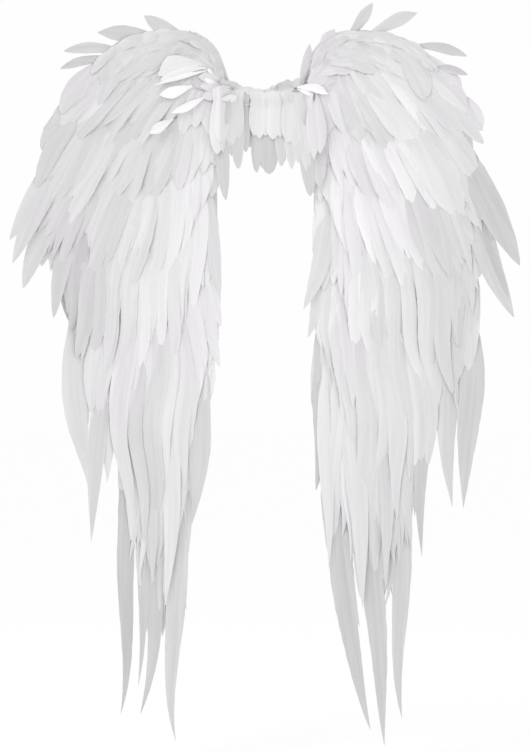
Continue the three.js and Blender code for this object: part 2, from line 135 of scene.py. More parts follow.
ROWS = (
    RowPlan("tail_feathers", Cut.PLUME, 1, (0, 0.01), ((0.56, 0.52), (0.42, 0.553), (0.22, 0.53)),
            34, 36, (0.3, 0.75), 0.0),
    RowPlan("long_feathers", Cut.PLUME, 1.15, (0.01, -0.01),
            ((0.755, 0.376), (0.456, 0.427), (0.23, 0.4)), 84, 30, (0.3, 0.7), 0.005),
    RowPlan("lower_feathers", Cut.LANCE, 1.08, (0.03, -0.01),
            ((0.775, 0.286), (0.475, 0.319), (0.23, 0.299)), 96, 26, (0.35, 0.72), 0.005),
    RowPlan("middle_feathers", Cut.LANCE, 1.05, (0.02, -0.01),
            ((0.8, 0.212), (0.495, 0.239), (0.22, 0.226)), 96, 22, (0.35, 0.75), 0.005),
    RowPlan("upper_feathers", Cut.LANCE, 1, (0.02, -0.01),
            ((0.785, 0.158), (0.495, 0.174), (0.2, 0.174)), 96, 20, (0.4, 0.8), 0.005),
    RowPlan("coverts", Cut.COVERT, 1, (0.005, -0.01),
            ((0.72, 0.115), (0.475, 0.11), (0.175, 0.138)), 84, 18, (0.45, 0.9), 0.005, 0.07),
    RowPlan("crest_feathers", Cut.COVERT, 0.95, (0.03, 0.01),
            ((0.68, 0.092), (0.43, 0.053), (0.19, 0.095)), 72, 18, (0.5, 0.95), 0.005, 0.18),
)

# Listed feathers of each row: how many, outer and inner root across, and where the outer, middle
# and inner ones end.
TIPS = {
    Side.LEFT: {
        "tail_feathers": (3, (0.47, 0.35), ((0.475, 0.795), (0.44, 0.84), (0.395, 0.81))),
        "long_feathers": (6, (0.55, 0.25), ((0.525, 0.7), (0.41, 0.755), (0.262, 0.58))),
        "lower_feathers": (8, (0.73, 0.24), ((0.77, 0.43), (0.566, 0.527), (0.225, 0.487))),
        "middle_feathers": (8, (0.76, 0.24), ((0.88, 0.355), (0.637, 0.4), (0.235, 0.38))),
        "upper_feathers": (8, (0.75, 0.22), ((0.93, 0.3), (0.661, 0.309), (0.215, 0.262))),
        "coverts": (9, (0.7, 0.19), ((0.88, 0.2), (0.633, 0.219), (0.185, 0.222))),
        "crest_feathers": (9, (0.645, 0.21), ((0.775, 0.152), (0.6, 0.135), (0.215, 0.18))),
    },
    Side.RIGHT: {
        "tail_feathers": (3, (0.47, 0.33), ((0.49, 0.8), (0.44, 0.815), (0.375, 0.8))),
        "long_feathers": (7, (0.61, 0.24), ((0.6, 0.66), (0.45, 0.74), (0.24, 0.62))),
        "lower_feathers": (8, (0.76, 0.24), ((0.8, 0.5), (0.574, 0.534), (0.225, 0.467))),
        "middle_feathers": (8, (0.76, 0.24), ((0.84, 0.37), (0.64, 0.407), (0.23, 0.387))),
        "upper_feathers": (8, (0.72, 0.22), ((0.89, 0.29), (0.653, 0.313), (0.21, 0.266))),
        "coverts": (9, (0.7, 0.19), ((0.855, 0.168), (0.613, 0.219), (0.185, 0.222))),
        "crest_feathers": (9, (0.65, 0.21), ((0.76, 0.135), (0.574, 0.138), (0.215, 0.178))),
    },
}

# Single feathers that stand out of the outline, by row: root across (on the row's tape, or with its
# own place down), tip, width, bend, and how far the end curls outwards.
SINGLES = {
    Side.LEFT: {
        "crest_feathers": (
            ((0.3, 0.05), (0.48, 0.0175), 0.6, -0.03, 0),
            ((0.41, 0.047), (0.663, 0.041), 0.64, 0.02, 0),
            ((0.56, 0.065), (0.793, 0.067), 0.46, 0.05, 0),
            ((0.61, 0.073), (0.807, 0.091), 0.38, 0.04, 0),
            ((0.62, 0.082), (0.785, 0.084), 0.2, 0.04, 0),
            ((0.172, 0.108), (0.3, 0.036), 0.5, -0.11, 0),
            (0.195, (0.15, 0.165), 0.7, 0.02, 0),
        ),
        "coverts": (
            (0.185, (0.156, 0.267), 0.55, 0.01, 0),
        ),
        "upper_feathers": (
            (0.755, (1, 0.321), 0.85, -0.02, 0),
            (0.73, (0.988, 0.352), 0.85, 0.01, 0),
        ),
        "middle_feathers": (
            (0.785, (0.949, 0.385), 0.85, 0.0, 0),
            (0.735, (0.832, 0.424), 0.72, 0, 0),
            (0.235, (0.178, 0.394), 0.6, 0.02, 0),
        ),
        "lower_feathers": (
            ((0.245, 0.36), (0.206, 0.44), 0.62, -0.02, 0),
            (0.255, (0.176, 0.435), 0.7, 0.04, 0),
            (0.23, (0.181, 0.49), 0.6, 0.05, 0),
        ),
        "long_feathers": (
            (0.72, (0.692, 0.664), 0.95, 0.12, 0.124),
            (0.64, (0.688, 0.7235), 0.8, -0.012, 0),
            (0.6, (0.625, 0.645), 0.9, 0, 0),
            (0.255, (0.25, 0.62), 0.36, 0, 0),
            (0.265, (0.29, 0.7), 1.05, 0, 0.025),
            (0.36, (0.398, 0.81), 0.85, 0, 0.01),
            (0.44, (0.45, 0.785), 0.75, 0, 0),
        ),
        "tail_feathers": (
            (0.552, (0.574, 0.957), 0.7, 0, 0.038),
            (0.45, (0.505, 0.92), 0.48, 0, 0.012),
            (0.4, (0.497, 0.958), 0.75, 0, 0.04),
            (0.3, (0.357, 0.994), 0.85, -0.004, -0.058),
        ),
    },
    Side.RIGHT: {
        "crest_feathers": (
            ((0.325, 0.048), (0.424, 0), 0.46, -0.01, 0),
            ((0.405, 0.044), (0.6, 0.014), 0.56, 0.03, 0),
            ((0.58, 0.058), (0.793, 0.074), 0.4, 0.06, 0),
            ((0.64, 0.085), (0.795, 0.099), 0.34, 0.03, 0),
            ((0.222, 0.078), (0.272, 0.035), 0.62, 0.04, 0),
            ((0.134, 0.111), (0.176, 0.055), 0.36, -0.02, 0),
            (0.2, (0.15, 0.165), 0.7, 0.02, 0),
        ),
        "coverts": (
            (0.2, (0.213, 0.25), 0.7, 0, 0),
        ),
        "upper_feathers": (
            (0.71, (0.993, 0.355), 1.05, 0.012, 0),
        ),
        "middle_feathers": (
            (0.78, (0.972, 0.424), 0.95, -0.035, 0),
            (0.26, (0.15, 0.412), 0.75, 0.06, 0),
        ),
        "lower_feathers": (
            (0.23, (0.168, 0.45), 0.62, 0.05, 0),
            ((0.27, 0.34), (0.345, 0.545), 0.62, 0.02, 0),
        ),
        "long_feathers": (
            (0.775, (0.779, 0.678), 1, 0.047, 0.027),
            (0.7, (0.736, 0.677), 0.85, -0.012, 0),
            (0.6, (0.617, 0.744), 0.65, 0, 0),
            (0.225, (0.2, 0.655), 0.75, 0.02, 0),
            (0.25, (0.25, 0.76), 0.7, 0, 0),
            (0.34, (0.385, 0.815), 0.9, 0, 0.01),
            (0.46, (0.475, 0.79), 0.75, 0, 0),
        ),
        "tail_feathers": (
            (0.54, (0.541, 0.963), 0.78, 0.004, 0.033),
            (0.4, (0.472, 1), 0.9, 0, 0.015),
            (0.265, (0.416, 0.979), 0.92, 0, 0.043),
            (0.23, (0.341, 0.906), 1, 0.011, 0),
        ),
    },
}

# Soft lighter and darker areas of each wing, painted light and shade: place across and down, reach
# across and down, amount.
SHADING = {
    Side.LEFT: (
        (0.36, 0.3, 0.17, 0.14, 0.065), (0.5, 0.17, 0.17, 0.1, -0.1),
        (0.71, 0.385, 0.09, 0.08, -0.17), (0.6, 0.55, 0.09, 0.07, 0.04),
        (0.7, 0.61, 0.05, 0.05, 0.04), (0.86, 0.15, 0.09, 0.09, -0.12),
        (0.22, 0.38, 0.06, 0.05, 0.07), (0.42, 0.22, 0.12, 0.05, -0.065),
        (0.24, 0.1, 0.06, 0.03, 0.03), (0.25, 0.65, 0.05, 0.06, -0.08),
        (0.26, 0.54, 0.05, 0.05, 0.06), (0.54, 0.66, 0.07, 0.07, 0.05),
        (0.37, 0.73, 0.06, 0.13, 0.14), (0.44, 0.88, 0.08, 0.08, -0.08),
        (0.215, 0.42, 0.03, 0.03, 0.08), (0.45, 0.6, 0.03, 0.08, -0.04),
    ),
    Side.RIGHT: (
        (0.36, 0.3, 0.17, 0.14, 0.09), (0.68, 0.4, 0.09, 0.09, -0.105),
        (0.58, 0.25, 0.1, 0.09, 0.11), (0.33, 0.72, 0.08, 0.08, 0.13),
        (0.25, 0.71, 0.06, 0.06, 0.14), (0.3, 0.81, 0.04, 0.04, 0.08),
        (0.32, 0.15, 0.14, 0.06, -0.03), (0.9, 0.31, 0.08, 0.09, -0.1),
        (0.44, 0.2, 0.1, 0.07, -0.11), (0.21, 0.57, 0.06, 0.11, -0.13),
        (0.77, 0.55, 0.12, 0.15, -0.035), (0.42, 0.89, 0.12, 0.08, -0.06),
        (0.5, 0.43, 0.035, 0.07, -0.06), (0.32, 0.49, 0.04, 0.06, 0.07),
    ),
}

# Small feathers loose on the shoulders, most of them bright with a painted sheen highlight: root,
# tip, width, bend, lightness.
ACCENTS = {
    Side.LEFT: (
        ((0.15, 0.1195), (0.25, 0.1285), 0.5, 0.04, 0.77),
        ((0.145, 0.1145), (0.262, 0.113), 0.5, 0.04, 0.78),
        ((0.165, 0.106), (0.265, 0.1), 0.44, 0.04, 0.76),
        ((0.25, 0.083), (0.424, 0.099), 0.82, 0.14, 0.84),
        ((0.235, 0.0886), (0.416, 0.106), 0.42, 0.1, 0.896),
        ((0.217, 0.0915), (0.4375, 0.1125), 0.2, 0.03, 0.99),
        ((0.288, 0.1128), (0.417, 0.1255), 0.47, -0.02, 0.986),
        ((0.235, 0.127), (0.371, 0.1495), 0.34, -0.03, 0.963),
        ((0.193, 0.11), (0.24, 0.1035), 0.26, 0.03, 0.963),
        ((0.205, 0.0985), (0.228, 0.089), 0.14, 0.0, 0.99),
        ((0.362, 0.1577), (0.455, 0.178), 0.4, 0.02, 0.93),
    ),
    Side.RIGHT: (
        ((0.2, 0.12), (0.215, 0.205), 0.56, 0.02, 0.81),
        ((0.175, 0.118), (0.19, 0.213), 0.56, 0.02, 0.8),
        ((0.1235, 0.1145), (0.246, 0.124), 0.36, 0.1, 0.99),
        ((0.125, 0.1175), (0.19, 0.127), 0.2, 0.05, 0.99),
    ),
}

# Blunt feathers that end lowest on the bridge: root and tip as shares across and down, level, width
# and lightness.
BRIDGE_LOBES = (
    ((-0.032, 0.125), (-0.036, 0.2275), 0.0, 0.42, 0.68),
    ((0.014, 0.125), (0.0145, 0.2295), 0.25, 0.78, 0.67),
    ((-0.008, 0.13), (-0.012, 0.222), 0.1, 0.4, 0.7),
)

# The other short feathers over the bridge: the same values.
BRIDGE_FEATHERS = (
    # The first, deep in the slot left of the middle, is darker: painted shade in the slot.
    ((-0.079, 0.12), (-0.077, 0.2), 0.5, 0.4, 0.68),
    ((0.06, 0.125), (0.062, 0.219), 0.3, 0.55, 0.75),
    ((0.09, 0.125), (0.104, 0.223), 0.5, 0.55, 0.79),
    ((0.118, 0.12), (0.132, 0.216), 0.9, 0.58, 0.8),
    ((0.14, 0.12), (0.165, 0.228), 1.1, 0.6, 0.79),
    ((0.15, 0.14), (0.176, 0.261), 0.6, 0.66, 0.68),
    ((-0.12, 0.12), (-0.135, 0.206), 0.5, 0.6, 0.79),
    ((-0.103, 0.118), (-0.108, 0.223), 0.9, 0.52, 0.78),
    ((-0.15, 0.115), (-0.158, 0.205), 1.1, 0.6, 0.84),
    ((-0.18, 0.112), (-0.19, 0.205), 1.3, 0.66, 0.83),
    ((-0.104, 0.115), (-0.106, 0.182), 1.5, 0.46, 0.86),
    ((-0.127, 0.114), (-0.133, 0.193), 1.9, 0.56, 0.85),
    ((-0.147, 0.113), (-0.152, 0.187), 1.9, 0.66, 0.84),
    ((-0.168, 0.112), (-0.174, 0.19), 2.2, 0.6, 0.85),
    ((-0.044, 0.117), (-0.043, 0.178), 1.3, 0.42, 0.86),
    ((-0.021, 0.118), (-0.023, 0.182), 1.7, 0.56, 0.86),
    ((0.002, 0.1185), (0.0, 0.178), 1.4, 0.62, 0.87),
    ((0.028, 0.117), (0.03, 0.183), 1.8, 0.64, 0.86),
    ((0.056, 0.117), (0.059, 0.18), 1.5, 0.62, 0.86),
    ((0.084, 0.115), (0.09, 0.188), 1.9, 0.6, 0.82),
    ((0.108, 0.114), (0.118, 0.192), 1.6, 0.6, 0.82),
    ((0.13, 0.114), (0.145, 0.19), 1.9, 0.58, 0.81),
    ((0.152, 0.118), (0.172, 0.205), 1.5, 0.72, 0.82),
)

# Small feathers laid over the spar beside the bridge's middle: the same values.
BRIDGE_COVER = (
    ((-0.18, 0.107), (-0.1, 0.113), 0.0, 0.42, 0.78),
    ((-0.15, 0.1135), (-0.082, 0.1165), 0.4, 0.4, 0.78),
    ((-0.112, 0.115), (-0.045, 0.1185), 0.8, 0.4, 0.81),
    ((-0.064, 0.1175), (-0.006, 0.1205), 1.2, 0.36, 0.83),
    ((0.002, 0.1215), (0.05, 0.1155), 0.8, 0.4, 0.8),
    ((0.02, 0.119), (0.088, 0.1125), 1.2, 0.46, 0.66),
    ((0.046, 0.1155), (0.112, 0.1085), 1.6, 0.44, 0.68),
    ((0.086, 0.113), (0.15, 0.106), 1.2, 0.36, 0.74),
)

# One small bright feather loose on the bridge, its brightness a painted sheen highlight: the same
# values.
BRIDGE_BRIGHT = (((-0.177, 0.1315), (-0.113, 0.1255), 4.0, 0.31, 0.96),)

# Outline of a backing panel: share of the height, outer and inner shares of the half span.
BACKING_ROWS = np.array([
    (0.046, 0.49, 0.31), (0.053, 0.56, 0.265), (0.067, 0.62, 0.226), (0.09, 0.68, 0.196),
    (0.118, 0.725, 0.18), (0.165, 0.775, 0.195), (0.22, 0.79, 0.215), (0.3, 0.77, 0.225),
    (0.39, 0.72, 0.225), (0.47, 0.64, 0.235), (0.53, 0.56, 0.26), (0.565, 0.47, 0.31),
])

# Half of the spar's route, from beside the bridge over the arch and down the outer edge.
SPAR_ROUTE = (
    (0.069, 0.119), (0.128, 0.116), (0.156, 0.106), (0.175, 0.089), (0.204, 0.065), (0.246, 0.05),
    (0.3, 0.0425), (0.39, 0.041), (0.5, 0.047), (0.6, 0.062), (0.67, 0.088), (0.72, 0.12),
    (0.75, 0.165), (0.76, 0.22), (0.745, 0.3), (0.7, 0.38),
)

# Laps of short feathers along the spar, inner one first: how far in they start, how much further in
# they end, width, how far they stand off, and how far the root goes back over the spar.
SPAR_LAPS = (
    ((0.015, 0.026), (0.014, 0.034), (0.5, 0.75), 0.0032, 0.0),
    ((0.007, 0.013), (0.006, 0.018), (0.42, 0.62), 0.0042, 0.003),
    ((0.0, 0.004), (0.0, 0.006), (0.3, 0.42), 0.0052, 0.0085),
)


def height(down: Array | float) -> Array | float:
    """Z of a share of the height, counted down from the highest crest tip."""
    return CREST_RISE - np.asarray(down) * WING_HEIGHT


def placed(share: Array, sign: float = 1.0) -> Array:
    """X, times the sign, and Z of shares of the half span and of the height."""
    share = np.asarray(share, float)
    return np.stack([sign * share[..., 0] * HALF_SPAN, height(share[..., 1])], -1)


def table_columns(rows: tuple) -> list[Array]:
    """The columns of a table as arrays of numbers."""
    return [np.array(column, float) for column in zip(*rows)]


def run_of(path: Array) -> Array:
    """Distance along a path at each of its points."""
    return np.concatenate([[0], np.cumsum(np.linalg.norm(np.diff(path, axis=0), axis=1))])


def headings(path: Array) -> Array:
    """Unit direction of a path at each of its points."""
    step = np.gradient(path, axis=0)
    return step / np.linalg.norm(step, axis=1)[:, None]


def quarter_turn(direction: Array) -> Array:
    """Flat directions turned by a quarter turn."""
    return np.stack([-direction[:, 1], direction[:, 0]], 1)


def parabola(values: tuple[float, ...], s: Array | float, middle: Array | float = 0.5) -> Array:
    """Value at s of the parabola through three values at s = 0, middle and 1.

    Args:
        values: the three values.
        s: shares of the way from the first to the last.
        middle: the share at which the second value lies.

    Returns:
        The parabola's values.
    """
    a, b, c = values
    return (
        a * (s - middle) * (s - 1) / middle
        + b * s * (s - 1) / (middle * (middle - 1))
        + c * s * (s - middle) / (1 - middle)
    )


def evenly(path: Array, count: int) -> Array:
    """Moves a path's points to equal steps along it.

    Args:
        path: the points, one a row.
        count: how many points to give.

    Returns:
        The new points.
    """
    run = run_of(path)
    at = np.linspace(0, run[-1], count)
    return np.stack([np.interp(at, run, path[:, k]) for k in range(path.shape[1])], 1)


def backing_front(x: Array, z: Array) -> Array:
    """Y of the backing's feathered face.

    It is flat behind the plate, swept away from the wearer by the square of the share of the span
    beyond the plate, and turned back by the square of the share of the height below the curl's
    start.

    Args:
        x: distances across.
        z: heights.

    Returns:
        The face's Y at each place.
    """
    beyond = np.maximum(np.abs(x) - PLATE_WIDTH / 2, 0) / (HALF_SPAN - PLATE_WIDTH / 2)
    below = np.maximum((CREST_RISE - z) / WING_HEIGHT - CURL_START, 0) / (1 - CURL_START)
    flat = PLATE_THICKNESS + TOUCH_GAP + SPAR_DIAMETER + SEAT_GAP + BACKING_THICKNESS
    return -flat - SWEEP_DEPTH * beyond**2 + CURL_DEPTH * below**2


def root_down(row: RowPlan, x: Array) -> Array:
    """Share of the height at which a row's tape lies, the parabola through its three places.

    Args:
        row: the row's plan.
        x: distances across.

    Returns:
        The shares.
    """
    outer, middle, inner = row.roots
    u = np.clip(np.abs(x) / HALF_SPAN, inner[0], outer[0])
    s = (outer[0] - u) / (outer[0] - inner[0])
    bend_at = (outer[0] - middle[0]) / (outer[0] - inner[0])
    return parabola((outer[1], middle[1], inner[1]), s, bend_at)


def lift(index: int, x: Array, z: Array) -> Array:
    """How far a row stands off the backing: a ramp of one pitch over each row below it.

    Args:
        index: the row's place in ROWS.
        x: distances across.
        z: heights.

    Returns:
        The distances.
    """
    total = np.zeros(np.broadcast(x, z).shape)
    for lower in ROWS[:index]:
        top = height(root_down(lower, x)) + TAPE_WIDTH / 2 + TAPE_MARGIN
        total = total + ROW_PITCH * np.clip((top + LIFT_RUN - z) / LIFT_RUN, 0, 1)
    return total


def centripetal(points: Array, steps: int) -> Array:
    """Points on the centripetal Catmull-Rom curve through points.

    Each span is blended from its four neighbours by knots that are the square roots of the
    distances, with the ends carried on straight.

    Args:
        points: the places the curve passes, n x 3.
        steps: how many points a span gives.

    Returns:
        The curve's points, in order.
    """
    ends = np.vstack([2 * points[0] - points[1], points, 2 * points[-1] - points[-2]])
    p = [ends[k : len(ends) - 3 + k, None] for k in range(4)]
    knots = [np.zeros((len(p[0]), 1, 1))]
    for a, b in zip(p, p[1:]):
        knots.append(knots[-1] + np.linalg.norm(b - a, axis=2, keepdims=True) ** 0.5)
    share = np.linspace(0, 1, steps, endpoint=False)[None, :, None]
    t = knots[1] + (knots[2] - knots[1]) * share

    def blend(a: Array, b: Array, ta: Array, tb: Array) -> Array:
        """Straight blend of two points by their knots."""
        return a * (tb - t) / (tb - ta) + b * (t - ta) / (tb - ta)

    a1, a2, a3 = (blend(p[k], p[k + 1], knots[k], knots[k + 1]) for k in range(3))
    b1, b2 = blend(a1, a2, knots[0], knots[2]), blend(a2, a3, knots[1], knots[3])
    curve = blend(b1, b2, knots[1], knots[2])
    return np.vstack([curve.reshape(-1, 3), points[-1:]])


def linked(name: str, data: bpy.types.ID) -> Piece:
    """Puts a mesh, lamp or camera into the scene.

    Args:
        name: the object's name.
        data: what the object shows.

    Returns:
        The object.
    """
    made = bpy.data.objects.new(name, data)
    bpy.context.scene.collection.objects.link(made)
    return made


@dataclass
class Wiring:
    """Adds nodes to one node tree."""

    tree: bpy.types.NodeTree

    def add(self, kind: str, values: dict[str | int, Any] | None = None,
            sources: dict[str | int, Socket] | None = None, **settings: str) -> bpy.types.Node:
        """Adds one node, set and linked.

        Args:
            kind: the node's type.
            values: constants for its own sockets.
            sources: what its other sockets are linked from.
            settings: its options.

        Returns:
            The node.
        """
        node = self.tree.nodes.new(f"ShaderNode{kind}")
        for option, value in settings.items():
            setattr(node, option, value)
        for socket, value in (values or {}).items():
            node.inputs[socket].default_value = value
        for socket, source in (sources or {}).items():
            self.tree.links.new(source, node.inputs[socket])
        return node


@dataclass(frozen=True)
class Finish:
    """A procedural finish: a colour scaled by the piece's tone, with streaks, grain and clouds.

    streak and grain are how many waves a metre the two patterns have along each coordinate. They
    follow the piece's vane attribute, or the object's own coordinates where follows is empty.
    """

    name: str
    slot: str
    light: Triple
    tint: Triple
    roughness: float
    sheen: float
    streak: Triple
    streak_depth: float
    grain: Triple
    grain_depth: float
    bump: float
    follows: str = "vane"
    clouds: Triple = (22.0, 22.0, 9.0)
    cloud_depth: float = 0.06
    patches: Triple = (11.0, 11.0, 7.0)
    patch_start: Triple = (7.4, 2.6, 10.2)
    patch_range: tuple[float, float] = (0.46, 0.64)
    sheen_roughness: float = 0.45
    gloss: float = 0.2
    bump_strength: float = 0.5

    def noise(self, net: Wiring, source: Socket, scale: Triple, detail: float,
              start: Triple = (0.0, 0.0, 0.0)) -> Socket:
        """A noise pattern stretched along the source's coordinates.

        Args:
            net: the material's nodes.
            source: the coordinates.
            scale: waves a metre along each coordinate.
            detail: how many finer octaves it has.
            start: the place in the pattern at which the coordinates begin.

        Returns:
            The pattern's value, about one half on average.
        """
        scaled = net.add("Mapping", {"Scale": scale, "Location": start}, {"Vector": source})
        pattern = {"Scale": 1.0, "Detail": detail}
        return net.add("TexNoise", pattern, {"Vector": scaled.outputs["Vector"]}).outputs["Fac"]

    def plus(self, net: Wiring, base: Socket, pattern: Socket, depth: float) -> Socket:
        """The base value plus depth times the pattern's distance from one half.

        Args:
            net: the material's nodes.
            base: the value added to.
            pattern: the pattern's value.
            depth: how much it counts.

        Returns:
            The sum.
        """
        centred = net.add("Math", {1: 0.5}, {0: pattern}, operation="SUBTRACT")
        total = net.add("Math", {1: depth}, {0: centred.outputs["Value"], 2: base},
                        operation="MULTIPLY_ADD")
        return total.outputs["Value"]

    def material(self) -> bpy.types.Material:
        """Makes the material: tone plus patterns, times a colour that soft patches tint.

        Returns:
            The material.
        """
        made = bpy.data.materials.new(self.name)
        made.use_nodes = True
        made.node_tree.nodes.clear()
        net = Wiring(made.node_tree)
        where = source = net.add("TexCoord").outputs["Object"]
        if self.follows:
            source = net.add("Attribute", attribute_name=self.follows).outputs["Vector"]
        tone = net.add("Attribute", attribute_name="tone").outputs["Fac"]
        grain = self.noise(net, source, self.grain, 2.0)
        value = self.plus(net, tone, self.noise(net, source, self.streak, 2.0), self.streak_depth)
        value = self.plus(net, value, grain, self.grain_depth)
        value = self.plus(net, value, self.noise(net, where, self.clouds, 1.0), self.cloud_depth)
        least, most = self.patch_range
        place = self.noise(net, where, self.patches, 1.0, self.patch_start)
        patches = net.add("MapRange", {"From Min": least, "From Max": most}, {"Value": place})
        colour = net.add("Mix", {"A": (*self.light, 1), "B": (*self.tint, 1)},
                         {"Factor": patches.outputs["Result"]}, data_type="RGBA")
        scaled = net.add("VectorMath", None, {"Vector": colour.outputs["Result"], "Scale": value},
                         operation="SCALE")
        raised = net.add("Bump", {"Strength": self.bump_strength, "Distance": self.bump},
                         {"Height": grain})
        skin = net.add(
            "BsdfPrincipled",
            {"Roughness": self.roughness, "Sheen Weight": self.sheen,
             "Sheen Roughness": self.sheen_roughness, "Specular IOR Level": self.gloss},
            {"Base Color": scaled.outputs["Vector"], "Normal": raised.outputs["Normal"]},
        )
        net.add("OutputMaterial", None, {"Surface": skin.outputs["BSDF"]})
        return made


VANE_WHITE = Finish("white_vane", "white_feather", (1.0, 1.0, 0.998), (1.004, 0.98, 1.008), 0.6,
                    0.15, (9, 190, 11), 0.15, (620, 45, 5), 0.05, 0.00025)
VANE_GREY = Finish("grey_white_vane", "grey_white_feather", (1.0, 1.0, 0.998), (0.995, 0.985, 1.0),
                   0.64, 0.15, (7, 210, 11), 0.17, (520, 45, 5), 0.05, 0.00025)
FELT = Finish("white_felt", "felt", (1.0, 0.995, 0.985), (0.985, 0.98, 0.975), 0.95, 0.3,
              (260, 260, 260), 0.07, (1100, 1100, 1100), 0.16, 0.0003, "")
RIBBON = Finish("wound_ribbon", "spar_wrapping", (1.0, 1.0, 1.0), (0.985, 0.985, 1.0), 0.5, 0.25,
                (60, 6, 6), 0.06, (900, 20, 6), 0.06, 0.0001)
ELASTIC = Finish("woven_elastic", "elastic", (1.0, 0.995, 0.98), (0.985, 0.985, 0.98), 0.8, 0.2,
                 (80, 80, 1), 0.05, (1500, 900, 1), 0.16, 0.0002)


@dataclass
class Shell:
    """Closed lofted skins that together make one piece, with what the finish reads on them."""

    points: list[Array] = field(default_factory=list)
    quads: list[Array] = field(default_factory=list)
    caps: list[Array] = field(default_factory=list)
    vane: list[Array] = field(default_factory=list)
    tone: list[Array] = field(default_factory=list)
    count: int = 0
    crease: float = 1.05

    def loft(self, rings: Array, vane: Array | None = None, tone: Array | float = VANE_TONE,
             joined: bool = False) -> None:
        """Adds closed skins through rings of points.

        One flat face closes each end, or the last ring is joined to the first. A skin whose
        volume, the sum of its corners' triple products, is negative is turned outside.

        Args:
            rings: skins x stations x points round x 3.
            vane: three values a point that a pattern follows; the default is zero.
            tone: lightness a point, or one for all.
            joined: whether the last ring is joined to the first.
        """
        skins, stations, around = rings.shape[:3]
        i, j = np.meshgrid(np.arange(stations - (not joined)), np.arange(around), indexing="ij")
        k, m = (i + 1) % stations, (j + 1) % around
        corners = ((i, j), (i, m), (k, m), (k, j))
        quad = np.stack([(a * around + b).ravel() for a, b in corners], 1)
        ends = [np.arange(around)[::-1], (stations - 1) * around + np.arange(around)]
        flat = rings.reshape(skins, -1, 3)
        p, q, r, s = (flat[:, quad[:, n]] for n in range(4))
        volumes = (np.cross(p, q) * r + np.cross(p, r) * s).sum((1, 2))
        for skin, volume in enumerate(volumes):
            start = self.count + skin * stations * around
            turn = slice(None, None, -1) if volume < 0 else slice(None)
            self.quads.append(start + quad[:, turn])
            self.caps += [] if joined else [start + end[turn] for end in ends]
        n = skins * stations * around
        self.points.append(flat.reshape(-1, 3))
        self.vane.append(np.zeros((n, 3)) if vane is None else vane.reshape(-1, 3))
        self.tone.append(np.broadcast_to(tone, rings.shape[:3]).reshape(-1))
        self.count += n

    def make(self, name: str, node: str) -> Piece:
        """Makes the piece: smooth shaded, riding on the one body, in place of its solid.

        Args:
            name: the piece's name.
            node: the solid that it replaces.

        Returns:
            The piece.
        """
        faces = [face for block in self.quads for face in block.tolist()]
        faces += [cap.tolist() for cap in self.caps]
        mesh = bpy.data.meshes.new(name)
        mesh.from_pydata(np.concatenate(self.points).tolist(), [], faces)
        mesh.polygons.foreach_set("use_smooth", np.ones(len(faces), bool))
        mesh.set_sharp_from_angle(angle=self.crease)
        vane = mesh.attributes.new("vane", "FLOAT_VECTOR", "POINT")
        vane.data.foreach_set("vector", np.concatenate(self.vane).astype(np.float32).ravel())
        tone = mesh.attributes.new("tone", "FLOAT", "POINT")
        tone.data.foreach_set("value", np.concatenate(self.tone).astype(np.float32))
        mesh.update()
        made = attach(linked(name, mesh), "root")
        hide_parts(node)
        return made

    def sew(self, line: Array, face: Surface) -> None:
        """Adds one running stitch of thread: capsules along a line that bow out of the face.

        Args:
            line: X and Z of the line's points.
            face: function of X and Z that gives the Y of the face they lie on.
        """
        step, size, thread, bow = 0.0085, 0.0058, 0.0006, 0.0003
        places = evenly(line, max(3, int(run_of(line)[-1] / step)))
        heading = headings(places)
        t = np.linspace(-1, 1, 5)
        section = np.linspace(0, 2 * np.pi, 6)[:-1]
        thick = (thread * np.sqrt(1 - 0.92 * t**2))[:, None]
        base = places[:, None] + heading[:, None] * (t * size / 2)[None, :, None]
        normal = quarter_turn(heading)
        x, z = (
            base[:, :, k, None] + normal[:, None, None, k] * (thick * np.cos(section))
            for k in range(2)
        )
        rise = thick * np.sin(section) + bow * (1 - t[:, None] ** 2)
        y = face(base[..., 0], base[..., 1])[:, :, None] + rise
        self.loft(np.stack([x, y, z], 3), tone=THREAD_TONE)


class Assembly(ABC):
    """A sub-assembly: it builds one piece and dresses it in its finish."""

    finish: ClassVar[Finish]

    @abstractmethod
    def build(self) -> Piece:
        """Builds the sub-assembly as one piece."""

    def dress(self, piece: Piece, made: dict[Finish, bpy.types.Material]) -> None:
        """Gives the piece its material."""
        piece.data.materials.append(made[self.finish])


